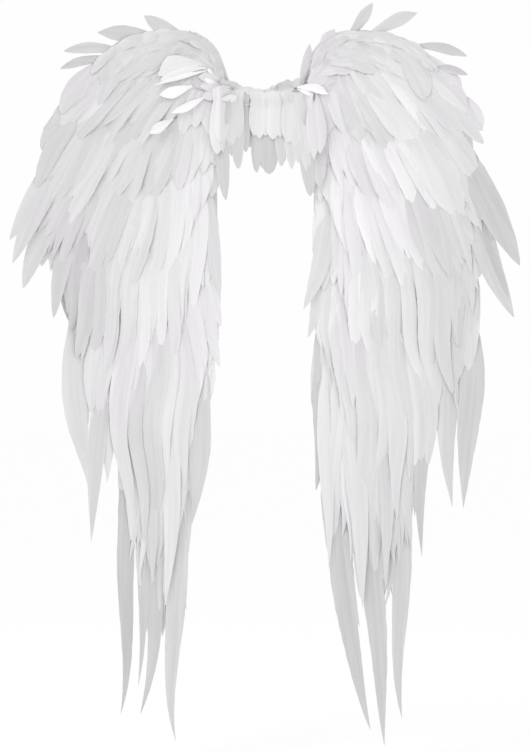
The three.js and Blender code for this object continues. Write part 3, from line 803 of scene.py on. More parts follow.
@dataclass
class Plumage:
    """A batch of feathers with one cut, as arrays with one entry a feather.

    root and tip are X and Z. off is how far a feather stands in front of the surface that the batch
    lies on, press how far its tip goes back towards the feathers below it, and tuck how far its
    root goes back over the edge behind it. wave is the height of a feather's own slow wave, and
    sway that of one which neighbours share.
    """

    root: Array
    tip: Array
    width: Array
    bend: Array
    off: Array
    tone: Array
    side: Array
    cut: Cut
    press: Array | float = 0.0
    curl: Array | float = 0.0
    tuck: float = 0.0
    sway: float = 0.0
    foot: float = 0.4
    steps: int = 20
    across: int = 6
    thickness: float = 0.0005
    camber: float = 0.002
    quill: float = 0.0004
    ripple: float = 0.00012
    uneven: float = 0.02
    slant: float = 0.5
    wave: float = 0.006
    sharp: tuple[float, float] = (0.95, 1.3)
    seed: int = 0

    def rings(self, surface: Surface) -> tuple[Array, Array, Array]:
        """Rings of every feather, with the values its finish reads.

        The middle line runs from root to tip with a bulge of 4t(1-t) times bend, a curl of t to the
        sixth minus t, and a faint wave. A point at share c across is moved sideways by c times the
        half width and towards the tip by the slant of the barbs. The front crowns by camber times
        1-c squared, with a quill and rippled barbs, and leans to one side, so neighbours lap as
        tiles do. The tip sinks by press times t squared, the root by tuck times 1-t cubed. The back
        is one ridge.

        Args:
            surface: function of X and Z that gives the Y which the feathers lie on.

        Returns:
            Points (feathers x stations x round x 3), vane values and tones.
        """
        rng = np.random.default_rng(self.seed)
        n = len(self.width)
        even = np.linspace(0, 1, self.steps + 1)
        t = 0.55 * even + 0.45 * np.sin(np.pi * even / 2)
        along = self.tip - self.root
        length = np.linalg.norm(along, axis=1)
        unit = along / length[:, None]
        normal = quarter_turn(unit)
        phase = rng.uniform(0, 6.28, (n, 3))
        phase[:, 0] = 26 * self.root[:, 0] + phase[:, 0] * 0.2
        snake = self.wave * np.sin(5 * t + phase[:, :1]) * np.sin(np.pi * t)
        curl = np.broadcast_to(self.curl, n)[:, None] * (t**6 - t)
        bulge = 4 * t * (1 - t) * self.bend[:, None] + curl
        bulge = (bulge * self.side[:, None] + snake) * length[:, None]
        middle = self.root[:, None] + along[:, None] * t[None, :, None]
        middle = middle + normal[:, None] * bulge[:, :, None]
        flow = np.sin(31 * middle[:, :, 1] + 9 * middle[:, :, 0]) * 4 * t * (1 - t)
        middle = middle + normal[:, None] * (self.sway * flow)[:, :, None]
        peak, blunt = self.cut.value
        power = blunt * rng.uniform(*self.sharp, n)[:, None]
        plump = np.maximum(np.sin(np.pi * np.clip(t, 0, 1) ** peak), 0) ** power
        plump = np.maximum(plump, self.foot * np.clip(1 - t / 0.3, 0, 1) ** 0.5)
        plump[:, -1] = 0.02
        edges = 1 + self.uneven * rng.standard_normal((2, n, self.steps + 1))
        c = np.concatenate([np.linspace(-1, 1, self.across + 1), [0.0]])
        half = plump * self.width[:, None] / 2
        reach = np.where(c < 0, (half * edges[0])[:, :, None], (half * edges[1])[:, :, None])
        shift = c * reach
        lean = np.abs(c) * reach * self.slant * np.clip(2.2 * (1 - t), 0, 1)[None, :, None]
        x, z = (
            middle[:, :, k, None] + normal[:, None, None, k] * shift + unit[:, None, None, k] * lean
            for k in range(2)
        )
        full = plump[:, :, None]
        crown = (self.camber * (1 - c**2) + self.quill * np.exp(-((c / 0.16) ** 2))) * full
        barb = (t * length[:, None])[:, :, None] - 1.1 * np.abs(shift)
        ripple = self.ripple * np.sin(barb * 210 + phase[:, 1, None, None]) * np.abs(c)
        lap = (0.0009 * self.side + 0.0006 * np.sin(phase[:, 2]))[:, None, None] * c
        press = np.broadcast_to(self.press, n)[:, None]
        sink = (press * t**2 + self.tuck * (1 - t) ** 3)[:, :, None]
        y = surface(x, z) - self.off[:, None, None] - crown + (ripple + lap) * full + sink
        y[:, :, -1] += self.thickness + (self.camber * plump)
        vane = np.stack([barb, shift, np.broadcast_to(phase[:, :1, None], shift.shape)], 3)
        # Painted shade darkens the root, which lies under the feathers above, and painted light
        # lightens the edges against the shade in the cracks between feathers.
        shade = 1 - 0.03 * np.clip(1 - t / 0.4, 0, 1)[None, :, None] + 0.04 * c**2
        return np.stack([x, y, z], 3), vane, self.tone[:, None, None] * shade


@dataclass
class FeatherRow(Assembly):
    """One row of feathers of one wing, with its sewn tape.

    Feathers of the two crest rows that stand out of the outline are leaf shaped and darker, a
    painted shade.
    """

    side: Side
    index: int
    listed_slim: float = 0.85
    filling_sink: float = 0.007
    tone_spread: float = 0.034
    tape_columns: int = 25

    @property
    def plan(self) -> RowPlan:
        """The row's plan."""
        return ROWS[self.index]

    @property
    def finish(self) -> Finish:
        """Grey for the tail and long rows, white for the others."""
        return VANE_GREY if self.index < 2 else VANE_WHITE

    def surface(self, x: Array, z: Array) -> Array:
        """Y of the surface the row lies on."""
        return backing_front(x, z) - SEAT_GAP - lift(self.index, x, z)

    def root_at(self, across: Array | float) -> Array:
        """X and Z of the roots at shares of the half span."""
        x = self.side.value * np.asarray(across, float) * HALF_SPAN
        return np.stack([x, height(root_down(self.plan, x))], -1)

    def at(self, s: Array) -> dict[str, Array]:
        """Feathers of the row's even run.

        Args:
            s: shares of the way from the row's outer to its inner end.

        Returns:
            Their root, tip, width and bend.
        """
        _, (outer, inner), ends = TIPS[self.side][self.plan.name]
        share = np.stack([parabola([e[k] for e in ends], s) for k in range(2)], 1)
        return {
            "root": self.root_at(outer + (inner - outer) * s),
            "tip": placed(share, self.side.value),
            "width": np.full(len(s), self.plan.width * FEATHER_WIDTH),
            "bend": self.plan.bends[0] + (self.plan.bends[1] - self.plan.bends[0]) * s,
        }

    def singles(self) -> dict[str, Array]:
        """Feathers that stand out of the outline, from the row's list.

        Returns:
            Their root, tip, width, bend and curl.
        """
        roots, tips, width, bend, curl = zip(*SINGLES[self.side][self.plan.name])
        sign = self.side.value
        roots = [placed(r, sign) if isinstance(r, tuple) else self.root_at(r) for r in roots]
        return {
            "root": np.array(roots), "tip": placed(tips, sign),
            "width": np.array(width) * FEATHER_WIDTH,
            "bend": np.array(bend, float), "curl": np.array(curl, float),
        }

    def tone_at(self, root: Array, tip: Array) -> Array:
        """Lightness of each vane, worked out at three quarters of its length.

        Greyer towards the outer edge and down the tail, plus the painted light and shade of the
        soft ovals of SHADING, each the bell curve of the distance from its middle.

        Args:
            root: X and Z of the roots.
            tip: X and Z of the tips.

        Returns:
            The lightness of each.
        """
        place = root + 0.75 * (tip - root)
        u = np.abs(place[:, 0]) / HALF_SPAN
        v = (CREST_RISE - place[:, 1]) / WING_HEIGHT
        outward = np.clip((u - 0.5) / 0.4, 0, 1)
        down = np.clip((v - 0.5) / 0.25, 0, 1)
        tone = VANE_TONE - 0.055 * outward - 0.095 * down
        # Each oval adds painted light where its amount is positive and painted shade where it is
        # negative.
        for at_u, at_v, wide, tall, amount in SHADING[self.side]:
            tone = tone + amount * np.exp(-(((u - at_u) / wide) ** 2) - ((v - at_v) / tall) ** 2)
        return tone

    def between(self, rng: np.random.Generator) -> tuple[dict[str, Array], Array]:
        """The many feathers that carry one row over into the next.

        Each lies a random share of the way from this row's root and tip to those of the row below,
        least of all beside the outline, and is turned, shortened and moved a little by itself.

        Args:
            rng: source of the random draws.

        Returns:
            Root, tip, width and bend of each, and how far each has gone to the row below.
        """
        plan = self.plan
        n = plan.fill
        s = (np.arange(n) + rng.uniform(0.1, 0.9, n)) / n
        inside = np.clip(np.minimum(s, 1 - s) / 0.15, 0, 1)
        made = self.at(s)
        gone = rng.permutation(n) / n * 0.95 * inside
        if self.index:
            below = FeatherRow(self.side, self.index - 1).at(s)
            gone *= 0.55 if self.index == 1 else 1.0
            for key in ("root", "tip"):
                made[key] = made[key] + (below[key] - made[key]) * gone[:, None]
        made["root"][:, 1] += rng.uniform(-0.006, 0.01, n)
        along = made["tip"] - made["root"]
        length = np.linalg.norm(along, axis=1)
        normal = quarter_turn(along) / length[:, None]
        share = rng.uniform(0.68, 0.99, n) + rng.uniform(0, 0.12, n) * inside
        made["tip"] = made["root"] + along * share[:, None]
        stray = 0.045 if self.index else 0.016
        turn = (rng.normal(0, stray, n) + self.side.value * plan.swing) * (0.25 + 0.75 * inside)
        made["tip"] += normal * (turn * length)[:, None]
        made["width"] = made["width"] * rng.uniform(*plan.slim, n)
        made["bend"] = made["bend"] + rng.normal(0, 0.025, n)
        return made, gone

    def companions(self, singles: dict[str, Array], rng: np.random.Generator) -> dict[str, Array]:
        """Two shorter feathers behind each one that stands out.

        Args:
            singles: those that stand out.
            rng: source of the random draws.

        Returns:
            Root, tip, width, bend and curl of each.
        """
        made = {k: np.repeat(v, 2, axis=0) for k, v in singles.items()}
        n = len(made["width"])
        along = made["tip"] - made["root"]
        share = (0.45, 0.68) if self.plan.cut is Cut.PLUME else (0.62, 0.88)
        made["tip"] = made["root"] + along * rng.uniform(*share, (n, 1))
        made["tip"] += quarter_turn(along) * rng.normal(0, 0.012, (n, 1))
        made["width"] = made["width"] * rng.uniform(0.55, 0.8, n)
        return made

    def build(self) -> Piece:
        """Builds the row's feathers and tape as one piece.

        Returns:
            The piece.
        """
        plan, crest = self.plan, self.index > 4
        rng = np.random.default_rng(100 * self.index + self.side.value + 7)
        shell = Shell()
        listed, singles = self.at(np.linspace(0, 1, TIPS[self.side][plan.name][0])), self.singles()
        (between, gone), companions = self.between(rng), self.companions(singles, rng)
        listed["width"] = listed["width"] * self.listed_slim
        # Feathers that stand out of the outline, and the two behind each, are darkened: painted
        # shade, deepest on the crest rows.
        lone_cut, lone_shade = (Cut.LEAF, 0.86) if crest else (plan.cut, 0.95)
        sway = 0.0045 if self.index < 4 else 0.001
        slant, wave = (0.9, 0.012) if plan.cut is Cut.PLUME else (0.5, 0.006)
        # Feathers, lowest level, spread of levels, cut, foot, shade, press and shared wave.
        batches = (
            (listed, 0.0, 0.2, plan.cut, 0.4, 1.0, plan.press, 0.0),
            (between, 0.0006, 0.5, plan.cut, 0.4, 1.0, plan.press + self.filling_sink * gone, sway),
            (singles, 0.0, 0.6, lone_cut, 0.12, lone_shade, 0.0, 0.0),
            (companions, -0.0004, 0.4, plan.cut, 0.12, lone_shade, 0.0, 0.0),
        )
        for number, (batch, base, spread, cut, foot, shade, press, flow) in enumerate(batches):
            n = len(batch["width"])
            off = base + spread * LEVEL_PITCH * rng.permutation((np.arange(n) + 0.5) / n)
            tone = self.tone_at(batch["root"], batch["tip"]) * shade
            tone = tone * rng.normal(1, self.tone_spread, n)
            plumage = Plumage(
                **batch, off=off, tone=tone, side=np.full(n, float(self.side.value)), cut=cut,
                press=press, foot=foot, steps=plan.steps, slant=slant, wave=wave, sway=flow,
                seed=10 * self.index + number,
            )
            shell.loft(*plumage.rings(self.surface))
        if plan.name == "crest_feathers":
            self.edging(shell, rng)
            self.accents(shell)
        self.tape(shell)
        node = f"{self.side.name.lower()}_{plan.name}"
        return shell.make(f"{node}_vanes", node)

    def edging(self, shell: Shell, rng: np.random.Generator) -> None:
        """Adds laps of short feathers along the spar, from the bridge over the arch outwards.

        Roots and tips lie on the spar's line, drawn in towards the wing's middle. They carry a
        painted shade, darker round the bell curve's middle, where the arch leaves the bridge.

        Args:
            shell: the skins they join.
            rng: source of the random draws.
        """
        line = Spar().half(self.side)[:, ::2]
        run = run_of(line)
        centre = np.array([self.side.value * 0.42 * HALF_SPAN, height(0.3)])
        # Depth of the painted shade along the spar on each side.
        painted_rim_shade = 0.11 if self.side is Side.LEFT else 0.04
        n = 30
        for lap, (inset, drift, wide, off, tuck) in enumerate(SPAR_LAPS):
            at = np.linspace(0.045 + 0.01 * lap, 0.235, n) + rng.uniform(-0.003, 0.003, n)
            reach = rng.uniform(0.036, 0.06, n)
            root, tip = (
                np.stack([np.interp(place, run, line[:, k]) for k in (0, 1)], 1)
                for place in (at, at + reach)
            )
            inward = centre - root
            inward /= np.linalg.norm(inward, axis=1)[:, None]
            start = rng.uniform(*inset, n)
            root = root + inward * start[:, None]
            tip = tip + inward * (start + rng.uniform(*drift, n))[:, None]
            # Painted shade along the spar, deepest where the arch leaves the bridge.
            rim = 0.95 - painted_rim_shade * np.exp(-(((at - 0.09) / 0.05) ** 2))
            plumage = Plumage(
                root=root, tip=tip, width=rng.uniform(*wide, n) * FEATHER_WIDTH,
                bend=np.full(n, 0.05), off=off + rng.uniform(0, 0.0012, n),
                tone=self.tone_at(root, tip) * rng.normal(rim, 0.03, n),
                side=np.full(n, float(self.side.value)), cut=Cut.LEAF, foot=0.5, steps=12,
                tuck=tuck, press=0.002, camber=0.0016, seed=90 + lap,
            )
            shell.loft(*plumage.rings(self.surface))

    def accents(self, shell: Shell) -> None:
        """Adds the small feathers that lie loose on the shoulder, the brightest with a painted
        sheen highlight.

        Args:
            shell: the skins they join.
        """
        root, tip, width, bend, tone = table_columns(ACCENTS[self.side])
        sign = self.side.value
        plumage = Plumage(
            root=placed(root, sign), tip=placed(tip, sign), width=width * FEATHER_WIDTH, bend=bend,
            off=np.linspace(0.005, 0.0075, len(tone)), tone=tone,
            side=np.full(len(tone), float(sign)), cut=Cut.LEAF, foot=0.2, steps=20, press=-0.002,
            camber=0.003, seed=97,
        )
        shell.loft(*plumage.rings(self.surface))

    def tape(self, shell: Shell) -> None:
        """Adds the sewn tape: a rounded ribbon along the row's roots, from the backing out to them.

        Args:
            shell: the skins it joins.
        """
        outer, inner = self.plan.roots[0][0], self.plan.roots[2][0]
        shares = np.linspace(outer - 0.004, inner + 0.004, self.tape_columns)
        x = self.side.value * HALF_SPAN * shares
        z = height(root_down(self.plan, x))
        front = lift(self.index, x, z - TAPE_WIDTH / 2) + 1.2 * LEVEL_PITCH
        corner = np.array([(-1, 0), (-1, 1), (-0.8, 1.15), (0.8, 1.15), (1, 1), (1, 0)])
        zz = z[:, None] + corner[:, 0] * TAPE_WIDTH / 2 * 0.94
        yy = backing_front(x[:, None], zz) - SEAT_GAP - corner[:, 1] * front[:, None]
        rings = np.stack([np.broadcast_to(x[:, None], zz.shape), yy, zz], 2)
        shell.loft(rings[None], tone=TAPE_TONE)


@dataclass
class BridgeFeathers(Assembly):
    """Short feathers that hang over the bridge, from the spar and a tape on the plate's front."""

    tape_depth: float = 0.005
    half: float = HALF_SPAN * 0.19
    clear: float = 0.0013
    fall: float = 0.02
    lean: float = 0.034
    tape_columns: int = 30
    finish: ClassVar[Finish] = VANE_WHITE

    def spar_height(self, x: Array) -> Array:
        """Z of the spar's middle line above the bridge at X."""
        line = Spar().half(Side.RIGHT)[:90]
        return np.interp(np.abs(x), line[:, 0], line[:, 2])

    def surface(self, x: Array, z: Array) -> Array:
        """Y of the surface behind the bridge feathers.

        It is upright before the plate, comes forward smoothly over the round of the spar, and comes
        forward beside the wings by a power of the share of the distance from the middle.

        Args:
            x: distances across.
            z: heights.

        Returns:
            The surface's Y at each place.
        """
        base = PLATE_THICKNESS + BRIDGE_FEATHER_START - LEVEL_PITCH
        forward = self.lean * np.clip((np.abs(x) - 0.028) / 0.032, 0, 1) ** 1.3
        reach = SPAR_DIAMETER / 2 + self.clear
        above = z - self.spar_height(x)
        s = np.clip((above + self.fall) / (self.fall - 0.003), 0, 1)
        over = PLATE_THICKNESS + TOUCH_GAP + SPAR_DIAMETER / 2 + reach
        ball = reach * (1 - np.sqrt(np.clip(1 - (np.maximum(above, 0) / reach) ** 2, 0, 1)))
        draped = base + (over - base) * s * s * (3 - 2 * s) - ball
        return -np.maximum(draped, base + forward)

    def lay(self, shell: Shell, rows: tuple, seed: int, bend: float, cut: Cut) -> None:
        """Adds the listed feathers.

        Args:
            shell: the skins they join.
            rows: root, tip, level, width and lightness of each.
            seed: number that the small variations start from.
            bend: bulge of every middle line.
            cut: outline of them all.
        """
        root, tip, level, width, tone = table_columns(rows)
        plumage = Plumage(
            root=placed(root), tip=placed(tip), width=width * FEATHER_WIDTH,
            bend=np.full(len(rows), bend), off=level * LEVEL_PITCH, tone=tone,
            side=np.where(root[:, 0] < 0, -1.0, 1.0), cut=cut, steps=20, camber=0.0014,
            foot=0.2 if cut is Cut.LEAF else 0.96, seed=seed,
        )
        shell.loft(*plumage.rings(self.surface))

    def build(self) -> Piece:
        """Builds the feathers and their tape as one piece.

        Returns:
            The piece.
        """
        shell = Shell()
        self.lay(shell, BRIDGE_LOBES, 74, 0.0, Cut.PADDLE)
        self.lay(shell, BRIDGE_FEATHERS, 70, 0.015, Cut.COVERT)
        self.lay(shell, BRIDGE_COVER, 78, 0.06, Cut.COVERT)
        self.lay(shell, BRIDGE_BRIGHT, 80, 0.06, Cut.LEAF)
        top = PLATE_HEIGHT / 2 + BRIDGE_HEIGHT - SPAR_DIAMETER / 2 - SEAT_GAP
        corner = np.array([(1, 0), (1, 1), (-1, 1), (-1, 0)])
        z = top - TAPE_WIDTH / 2 + corner[:, 0] * TAPE_WIDTH / 2 * 0.92
        y = -PLATE_THICKNESS - TOUCH_GAP - corner[:, 1] * self.tape_depth
        x = np.linspace(-self.half, self.half, self.tape_columns)[:, None]
        shell.loft(np.stack(np.broadcast_arrays(x, y, z), 2)[None], tone=TAPE_TONE)
        return shell.make("bridge_vanes", "bridge_feathers")


@dataclass
class Spar(Assembly):
    """The bent wire with its ribbon wrapping and the thread ties that hold it to the backings."""

    radius: float = SPAR_DIAMETER / 2
    pitch: float = 0.009
    around: int = 18
    length_steps: int = 620
    tie_step: float = 0.052
    tie_thread: float = 0.0005
    finish: ClassVar[Finish] = RIBBON

    def centre(self, x: Array, z: Array) -> Array:
        """Points of the spar's middle line, a seat gap behind the backing, squarely off its slope.

        Args:
            x: distances across.
            z: heights.

        Returns:
            The points.
        """
        d = 0.001
        slope_x = (backing_front(x + d, z) - backing_front(x - d, z)) / (2 * d)
        slope_z = (backing_front(x, z + d) - backing_front(x, z - d)) / (2 * d)
        stand = (self.radius + SEAT_GAP) * np.sqrt(1 + slope_x**2 + slope_z**2)
        return np.stack([x, backing_front(x, z) + BACKING_THICKNESS + stand, z], -1)

    def route(self) -> Array:
        """The middle line from one wing's outer end over the bridge to the other's.

        Returns:
            Its points, at even steps.
        """
        left, right = (self.centre(*placed(SPAR_ROUTE, side.value).T) for side in Side)
        bridge = self.centre(np.zeros(1), np.full(1, PLATE_HEIGHT / 2 + BRIDGE_HEIGHT))
        return evenly(centripetal(np.vstack([left[::-1], bridge, right]), 24), self.length_steps)

    def half(self, side: Side) -> Array:
        """The middle line of one wing's half.

        Args:
            side: the wing.

        Returns:
            Its points from the bridge outwards.
        """
        path = self.route()
        middle = len(path) // 2
        return path[:middle][::-1] if side is Side.LEFT else path[middle:]

    def build(self) -> Piece:
        """Builds the tube, whose radius steps down slightly at each turn of the ribbon's edge.

        Returns:
            The piece.
        """
        path = self.route()
        tangent = headings(path)
        across = np.cross(tangent, (0.0, 1.0, 0.0))
        across /= np.linalg.norm(across, axis=1)[:, None]
        up = np.cross(across, tangent)
        run = run_of(path)
        angle = np.linspace(0, 2 * np.pi, self.around, endpoint=False)
        cos, sin = np.cos(angle)[None, :, None], np.sin(angle)[None, :, None]
        turn = (run[:, None] / self.pitch - angle / (2 * np.pi)) % 1
        end = np.clip(np.minimum(run, run[-1] - run)[:, None] / self.radius, 0, 1)
        r = self.radius * (0.975 - 0.06 * np.exp(-turn / 0.09) + 0.02 * turn)
        r = r * np.sqrt(end * (2 - end) + 0.004)
        ring = path[:, None] + r[:, :, None] * (cos * across[:, None] + sin * up[:, None])
        vane = np.stack(np.broadcast_arrays(run[:, None], angle, turn), 2)
        shell = Shell()
        # The tone is a painted shade in the step at each turn of the ribbon's edge, lighter further
        # along the turn.
        shell.loft(ring[None], vane[None], 0.7 + 0.08 * np.clip(turn / 0.2, 0, 1)[None])
        self.ties(shell, path, across, up)
        return shell.make("ribbon_wrapped_spar", "wrapped_spar")

    def ties(self, shell: Shell, path: Array, across: Array, up: Array) -> None:
        """Adds thread ties: three close turns round the spar at even steps along each wing.

        Args:
            shell: the skins they join.
            path: the middle line's points.
            across: a direction square to the line at each point.
            up: the direction square to both.
        """
        run = run_of(path)
        angle = np.linspace(0, 2 * np.pi, 17)[:-1, None]
        section = np.linspace(0, 2 * np.pi, 7)[None, :-1, None]
        at = np.searchsorted(run, np.arange(0.03, run[-1] - 0.02, self.tie_step))
        at = at[np.abs(path[at, 0]) > 0.08]
        rings = []
        for k in np.repeat(at, 3) + np.tile((-1, 0, 1), len(at)):
            out = np.cos(angle) * across[k] + np.sin(angle) * up[k]
            centre = path[k] + self.radius * 1.02 * out
            along = np.cross(across[k], up[k])
            round_it = np.cos(section) * out[:, None] + np.sin(section) * along
            rings.append(centre[:, None] + self.tie_thread * round_it)
        shell.loft(np.array(rings), tone=TIE_TONE, joined=True)


@dataclass
class Backing(Assembly):
    """One felt panel with the stitches that hold the feather tapes and a row along its edge."""

    side: Side
    stations: int = 90
    columns: int = 26
    rim: float = 0.002
    dimple: float = 0.0005
    seam_inset: float = 0.007
    finish: ClassVar[Finish] = FELT

    def rear(self, x: Array, z: Array) -> Array:
        """Y of the panel's wearer-side face."""
        return backing_front(x, z) + BACKING_THICKNESS

    def outline(self, down: Array) -> tuple[Array, Array]:
        """Outer and inner X at shares of the height, from the panel's table."""
        outer, inner = (np.interp(down, BACKING_ROWS[:, 0], BACKING_ROWS[:, k]) for k in (1, 2))
        return self.side.value * outer * HALF_SPAN, self.side.value * inner * HALF_SPAN

    def build(self) -> Piece:
        """Builds the panel: a sheet between its edges, rounded at the rim and dimpled at the seams.

        Its half thickness near the rim is a quarter circle of the distance from the rim.

        Returns:
            The piece.
        """
        share = (1 - np.cos(np.linspace(0, np.pi, self.stations))) / 2
        down = BACKING_ROWS[0, 0] + share * (BACKING_ROWS[-1, 0] - BACKING_ROWS[0, 0])
        outer, inner = self.outline(down)
        c = (1 - np.cos(np.linspace(0, np.pi, self.columns + 1))) / 2
        x = outer[:, None] + (inner - outer)[:, None] * c
        z = np.broadcast_to(height(down)[:, None], x.shape)
        edge = np.minimum(np.abs(x - outer[:, None]), np.abs(x - inner[:, None]))
        ends = np.minimum(down - down[0], down[-1] - down)[:, None] * WING_HEIGHT * 1.4
        near = 1 - np.clip(np.minimum(edge, ends) / self.rim, 0, 1)
        full = np.sqrt(np.clip(1 - near**2, 0, 1)) * 0.96 + 0.04
        half = BACKING_THICKNESS / 2 * full * 0.98
        dimple = sum(
            self.dimple * np.exp(-(((z - height(root_down(row, x))) / 0.004) ** 2)) for row in ROWS
        )
        middle = backing_front(x, z) + BACKING_THICKNESS / 2
        front = np.stack([x, middle - half, z], 2)
        rear = np.stack([x, middle + half - dimple * full, z], 2)[:, ::-1]
        shell = Shell()
        shell.loft(np.concatenate([front, rear], 1)[None])
        self.stitches(shell)
        name = self.side.name.lower()
        return shell.make(f"{name}_felt_backing", f"{name}_backing")

    def stitches(self, shell: Shell) -> None:
        """Adds stitches on the wearer's side: one row a feather tape and one round the edge.

        Args:
            shell: the skins they join.
        """
        for row in ROWS:
            u = np.linspace(row.roots[0][0] - 0.03, row.roots[2][0] + 0.02, 200)
            x = self.side.value * u * HALF_SPAN
            z = height(root_down(row, x))
            outer, inner = self.outline((CREST_RISE - z) / WING_HEIGHT)
            inside = (np.abs(x) < np.abs(outer) - 0.006) & (np.abs(x) > np.abs(inner) + 0.004)
            if inside.sum() > 8:
                shell.sew(np.stack([x[inside], z[inside]], 1), self.rear)
        first, last = BACKING_ROWS[0, 0] + self.seam_inset, BACKING_ROWS[-1, 0] - self.seam_inset
        down = np.linspace(first, last, 160)
        inset = self.seam_inset * self.side.value
        for edge, draw in zip(self.outline(down), (-inset, inset)):
            shell.sew(np.stack([edge + draw, height(down)], 1), self.rear)


@dataclass
class HarnessPlate(Assembly):
    """The felt covered board between the shoulder blades, with its seams."""

    segments: int = 12
    roll: float = 0.0016
    seam_inset: float = 0.005
    strap_seam: float = 0.0205
    finish: ClassVar[Finish] = FELT

    def rear(self, x: Array, z: Array) -> Array:
        """Y of the wearer-side face, zero everywhere."""
        return np.zeros(np.broadcast(x, z).shape)

    def outline(self, inset: float) -> Array:
        """The rounded rectangle, four quarter circles in order.

        Args:
            inset: how far it is drawn in.

        Returns:
            X and Z of its points.
        """
        w, h = PLATE_WIDTH / 2 - inset, PLATE_HEIGHT / 2 - inset
        r = max(PLATE_CORNER - inset, 0.001)
        angle = np.linspace(0, np.pi / 2, self.segments + 1)
        corners = []
        for k, (sx, sz) in enumerate(((1, 1), (-1, 1), (-1, -1), (1, -1))):
            a = angle + k * np.pi / 2
            x, z = sx * (w - r) + r * np.cos(a), sz * (h - r) + r * np.sin(a)
            corners.append(np.stack([x, z], 1))
        return np.vstack(corners)

    def build(self) -> Piece:
        """Builds the board: outlines carried from the front face round the rolled edge to the rear.

        Returns:
            The piece.
        """
        a = np.linspace(0, np.pi / 2, 5)
        rise, draw = self.roll * (1 - np.cos(a)), self.roll * (1 - np.sin(a))
        depths = [rise[0] + 0.0003, rise[0], *rise, *(PLATE_THICKNESS - rise[::-1])]
        depths += [depths[-1], depths[-1] - 0.0003]
        insets = [0.02, 0.006, *draw, *draw[::-1], 0.006, 0.02]
        rings = []
        for depth, inset in zip(depths, insets):
            x, z = self.outline(inset).T
            rings.append(np.stack([x, np.full(len(x), depth - PLATE_THICKNESS), z], 1))
        shell = Shell()
        shell.loft(np.stack(rings)[None])
        seam = self.outline(self.seam_inset)
        shell.sew(np.vstack([seam, seam[:1]]), self.rear)
        across = np.linspace(-STRAP_WIDTH / 2, STRAP_WIDTH / 2, 9) * 0.8
        for side in Side:
            for level in (self.strap_seam, -self.strap_seam):
                x = side.value * STRAP_SPACING / 2 + across
                shell.sew(np.stack([x, np.full(9, level)], 1), self.rear)
        return shell.make("felt_covered_plate", "harness_plate")


@dataclass
class ShoulderStrap(Assembly):
    """One elastic loop from the plate's top edge round the arm to its bottom edge."""

    side: Side
    steps: int = 150
    ribs: int = 13
    rib_depth: float = 0.00009
    finish: ClassVar[Finish] = ELASTIC

    def route(self) -> Array:
        """The loop's middle line, the uniform Catmull-Rom curve through its places.

        Returns:
            Y and Z of its points, at even steps.
        """
        top, middle = PLATE_HEIGHT / 2, -PLATE_THICKNESS / 2
        fall = PLATE_HEIGHT + STRAP_HANG
        loop = ((0.7, 0.3), (1.0, 0.64), (0.9, 0.88), (0.56, 1.0), (0.24, 0.92), (0.06, 0.7))
        bends = ((0, 0.4), (0.35, 1.05), (1, 1.3), (1.9, 0.9))
        p = np.array([
            (middle, top + TOUCH_GAP),
            *((middle + STRAP_BEND * out, top + STRAP_BEND * rise) for out, rise in bends),
            *((out * STRAP_REACH, top - down * fall) for out, down in loop),
            (middle, -top - STRAP_HANG * 0.2),
            (middle, -top - TOUCH_GAP),
        ])
        p = np.vstack([p[:1], p, p[-1:]])
        t = np.linspace(0, 1, 30, endpoint=False)[None, :, None]
        a, b, c, d = (p[k : len(p) - 3 + k, None] for k in range(4))
        m0, m1 = (c - a) / 2, (d - b) / 2
        cubic, square = 2 * b - 2 * c + m0 + m1, -3 * b + 3 * c - 2 * m0 - m1
        curve = cubic * t**3 + square * t**2 + m0 * t + b
        return evenly(np.vstack([curve.reshape(-1, 2), p[-1:]]), self.steps)

    def build(self) -> Piece:
        """Builds the ribbed band: a flat rounded section carried along the loop.

        Returns:
            The piece.
        """
        path = self.route()
        normal = quarter_turn(headings(path))
        c = np.linspace(-1, 1, 2 * self.ribs + 1)
        half = STRAP_THICKNESS / 2 * (1 - 0.5 * np.abs(c) ** 9)
        rib = self.rib_depth * np.cos(c * self.ribs * np.pi)
        u = np.concatenate([c, c[::-1]]) * STRAP_WIDTH / 2 * 0.998
        v = np.concatenate([half * 0.93 + rib, -half[::-1] * 0.93 - rib[::-1]])
        x = self.side.value * STRAP_SPACING / 2 + np.broadcast_to(u, (len(path), len(u)))
        yz = path[:, None] + normal[:, None] * v[None, :, None]
        vane = np.stack(np.broadcast_arrays(run_of(path)[:, None], u, x * 0), 2)
        shell = Shell()
        shell.loft(np.stack([x, yz[..., 0], yz[..., 1]], 2)[None], vane[None])
        name = self.side.name.lower()
        return shell.make(f"{name}_elastic_strap", f"{name}_shoulder_strap")


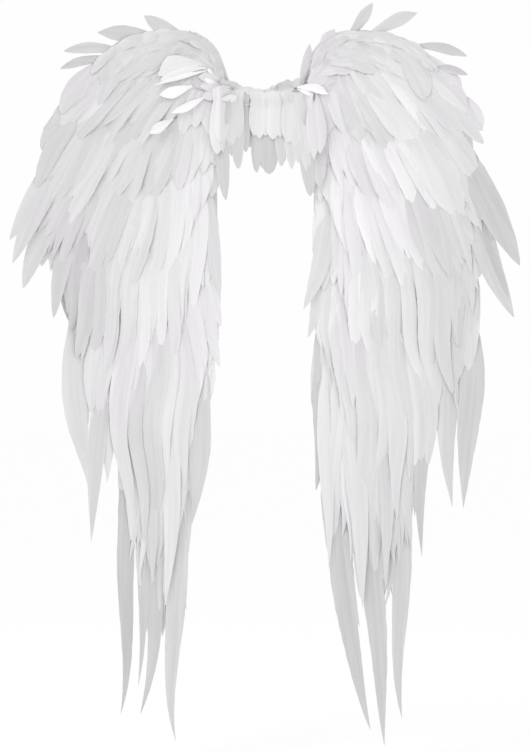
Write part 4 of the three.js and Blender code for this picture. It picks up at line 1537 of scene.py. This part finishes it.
@dataclass
class Studio:
    """The camera square to the wings, an all round soft white light and a pale floor."""

    lens: float = 180.0
    frame_height: float = 752 * 1.0 / 745
    centre: tuple[float, float] = (-0.0007, -0.3396)
    focus_y: float = -0.03
    white: float = 0.99
    fill: float = 0.86
    key_energy: float = 9.0
    key_size: float = 1.2
    key_place: Triple = (-1.3, -1.8, 1.5)
    key_target: Triple = (0, 0, -0.25)
    floor_half: float = 30.0
    floor_z: float = -0.86
    floor_colour: tuple[float, float, float, float] = (0.9, 0.9, 0.9, 1.0)
    floor_glow: float = 0.205

    def camera(self) -> None:
        """Sets the camera in front of the feathered side at the photograph's framing."""
        lens = bpy.data.cameras.new("front_camera")
        lens.lens = self.lens
        lens.clip_end = 60
        view = linked("front_camera", lens)
        away = self.frame_height * self.lens / lens.sensor_width
        view.location = (self.centre[0], self.focus_y - away, self.centre[1])
        view.rotation_euler = (np.pi / 2, 0, 0)
        bpy.context.scene.camera = view

    def light(self) -> None:
        """Sets the white surroundings and one large soft light from the upper left."""
        world = bpy.data.worlds.new("white_room")
        world.use_nodes = True
        tree = world.node_tree
        net = Wiring(tree)
        seen = tree.nodes["Background"]
        seen.inputs["Color"].default_value = (1, 1, 1, 1)
        seen.inputs["Strength"].default_value = self.white
        room = net.add("Background", {"Color": (1, 1, 1, 1), "Strength": self.fill})
        which = net.add("LightPath").outputs["Is Camera Ray"]
        blend = net.add("MixShader", None, {0: which, 1: room.outputs[0], 2: seen.outputs[0]})
        tree.links.new(blend.outputs[0], tree.nodes["World Output"].inputs["Surface"])
        bpy.context.scene.world = world
        bpy.context.scene.view_settings.view_transform = "Standard"
        lamp = bpy.data.lights.new("soft_key", "AREA")
        lamp.energy, lamp.size = self.key_energy, self.key_size
        key = linked("soft_key", lamp)
        key.location = self.key_place
        aim = Vector(self.key_target) - key.location
        key.rotation_euler = aim.to_track_quat("-Z", "Y").to_euler()

    def floor(self) -> None:
        """Lays a wide pale floor below the tail tips."""
        mesh = bpy.data.meshes.new("pale_floor")
        turns = ((-1, -1), (1, -1), (1, 1), (-1, 1))
        corners = [(x * self.floor_half, y * self.floor_half, self.floor_z) for x, y in turns]
        mesh.from_pydata(corners, [], [(0, 1, 2, 3)])
        paint = bpy.data.materials.new("pale_floor")
        paint.use_nodes = True
        skin = paint.node_tree.nodes["Principled BSDF"]
        skin.inputs["Base Color"].default_value = self.floor_colour
        skin.inputs["Roughness"].default_value = 0.9
        skin.inputs["Emission Color"].default_value = (1, 1, 1, 1)
        skin.inputs["Emission Strength"].default_value = self.floor_glow
        mesh.materials.append(paint)
        linked("pale_floor", mesh)


def main() -> None:
    studio = Studio()
    studio.camera()
    studio.light()
    studio.floor()
    made = {f: f.material() for f in (VANE_WHITE, VANE_GREY, FELT, RIBBON, ELASTIC)}
    parts: list[Assembly] = []
    for side in Side:
        rows = (FeatherRow(side, index) for index in range(len(ROWS)))
        parts += [Backing(side), *rows, ShoulderStrap(side)]
    parts += [BridgeFeathers(), Spar(), HarnessPlate()]
    total = 0
    for part in parts:
        piece = part.build()
        part.dress(piece, made)
        triangles = sum(len(face.vertices) - 2 for face in piece.data.polygons)
        total += triangles
        LOG.info("%s: %d triangles", piece.name, triangles)
    LOG.info("all pieces: %d triangles", total)


if __name__ == "__main__":
    main()
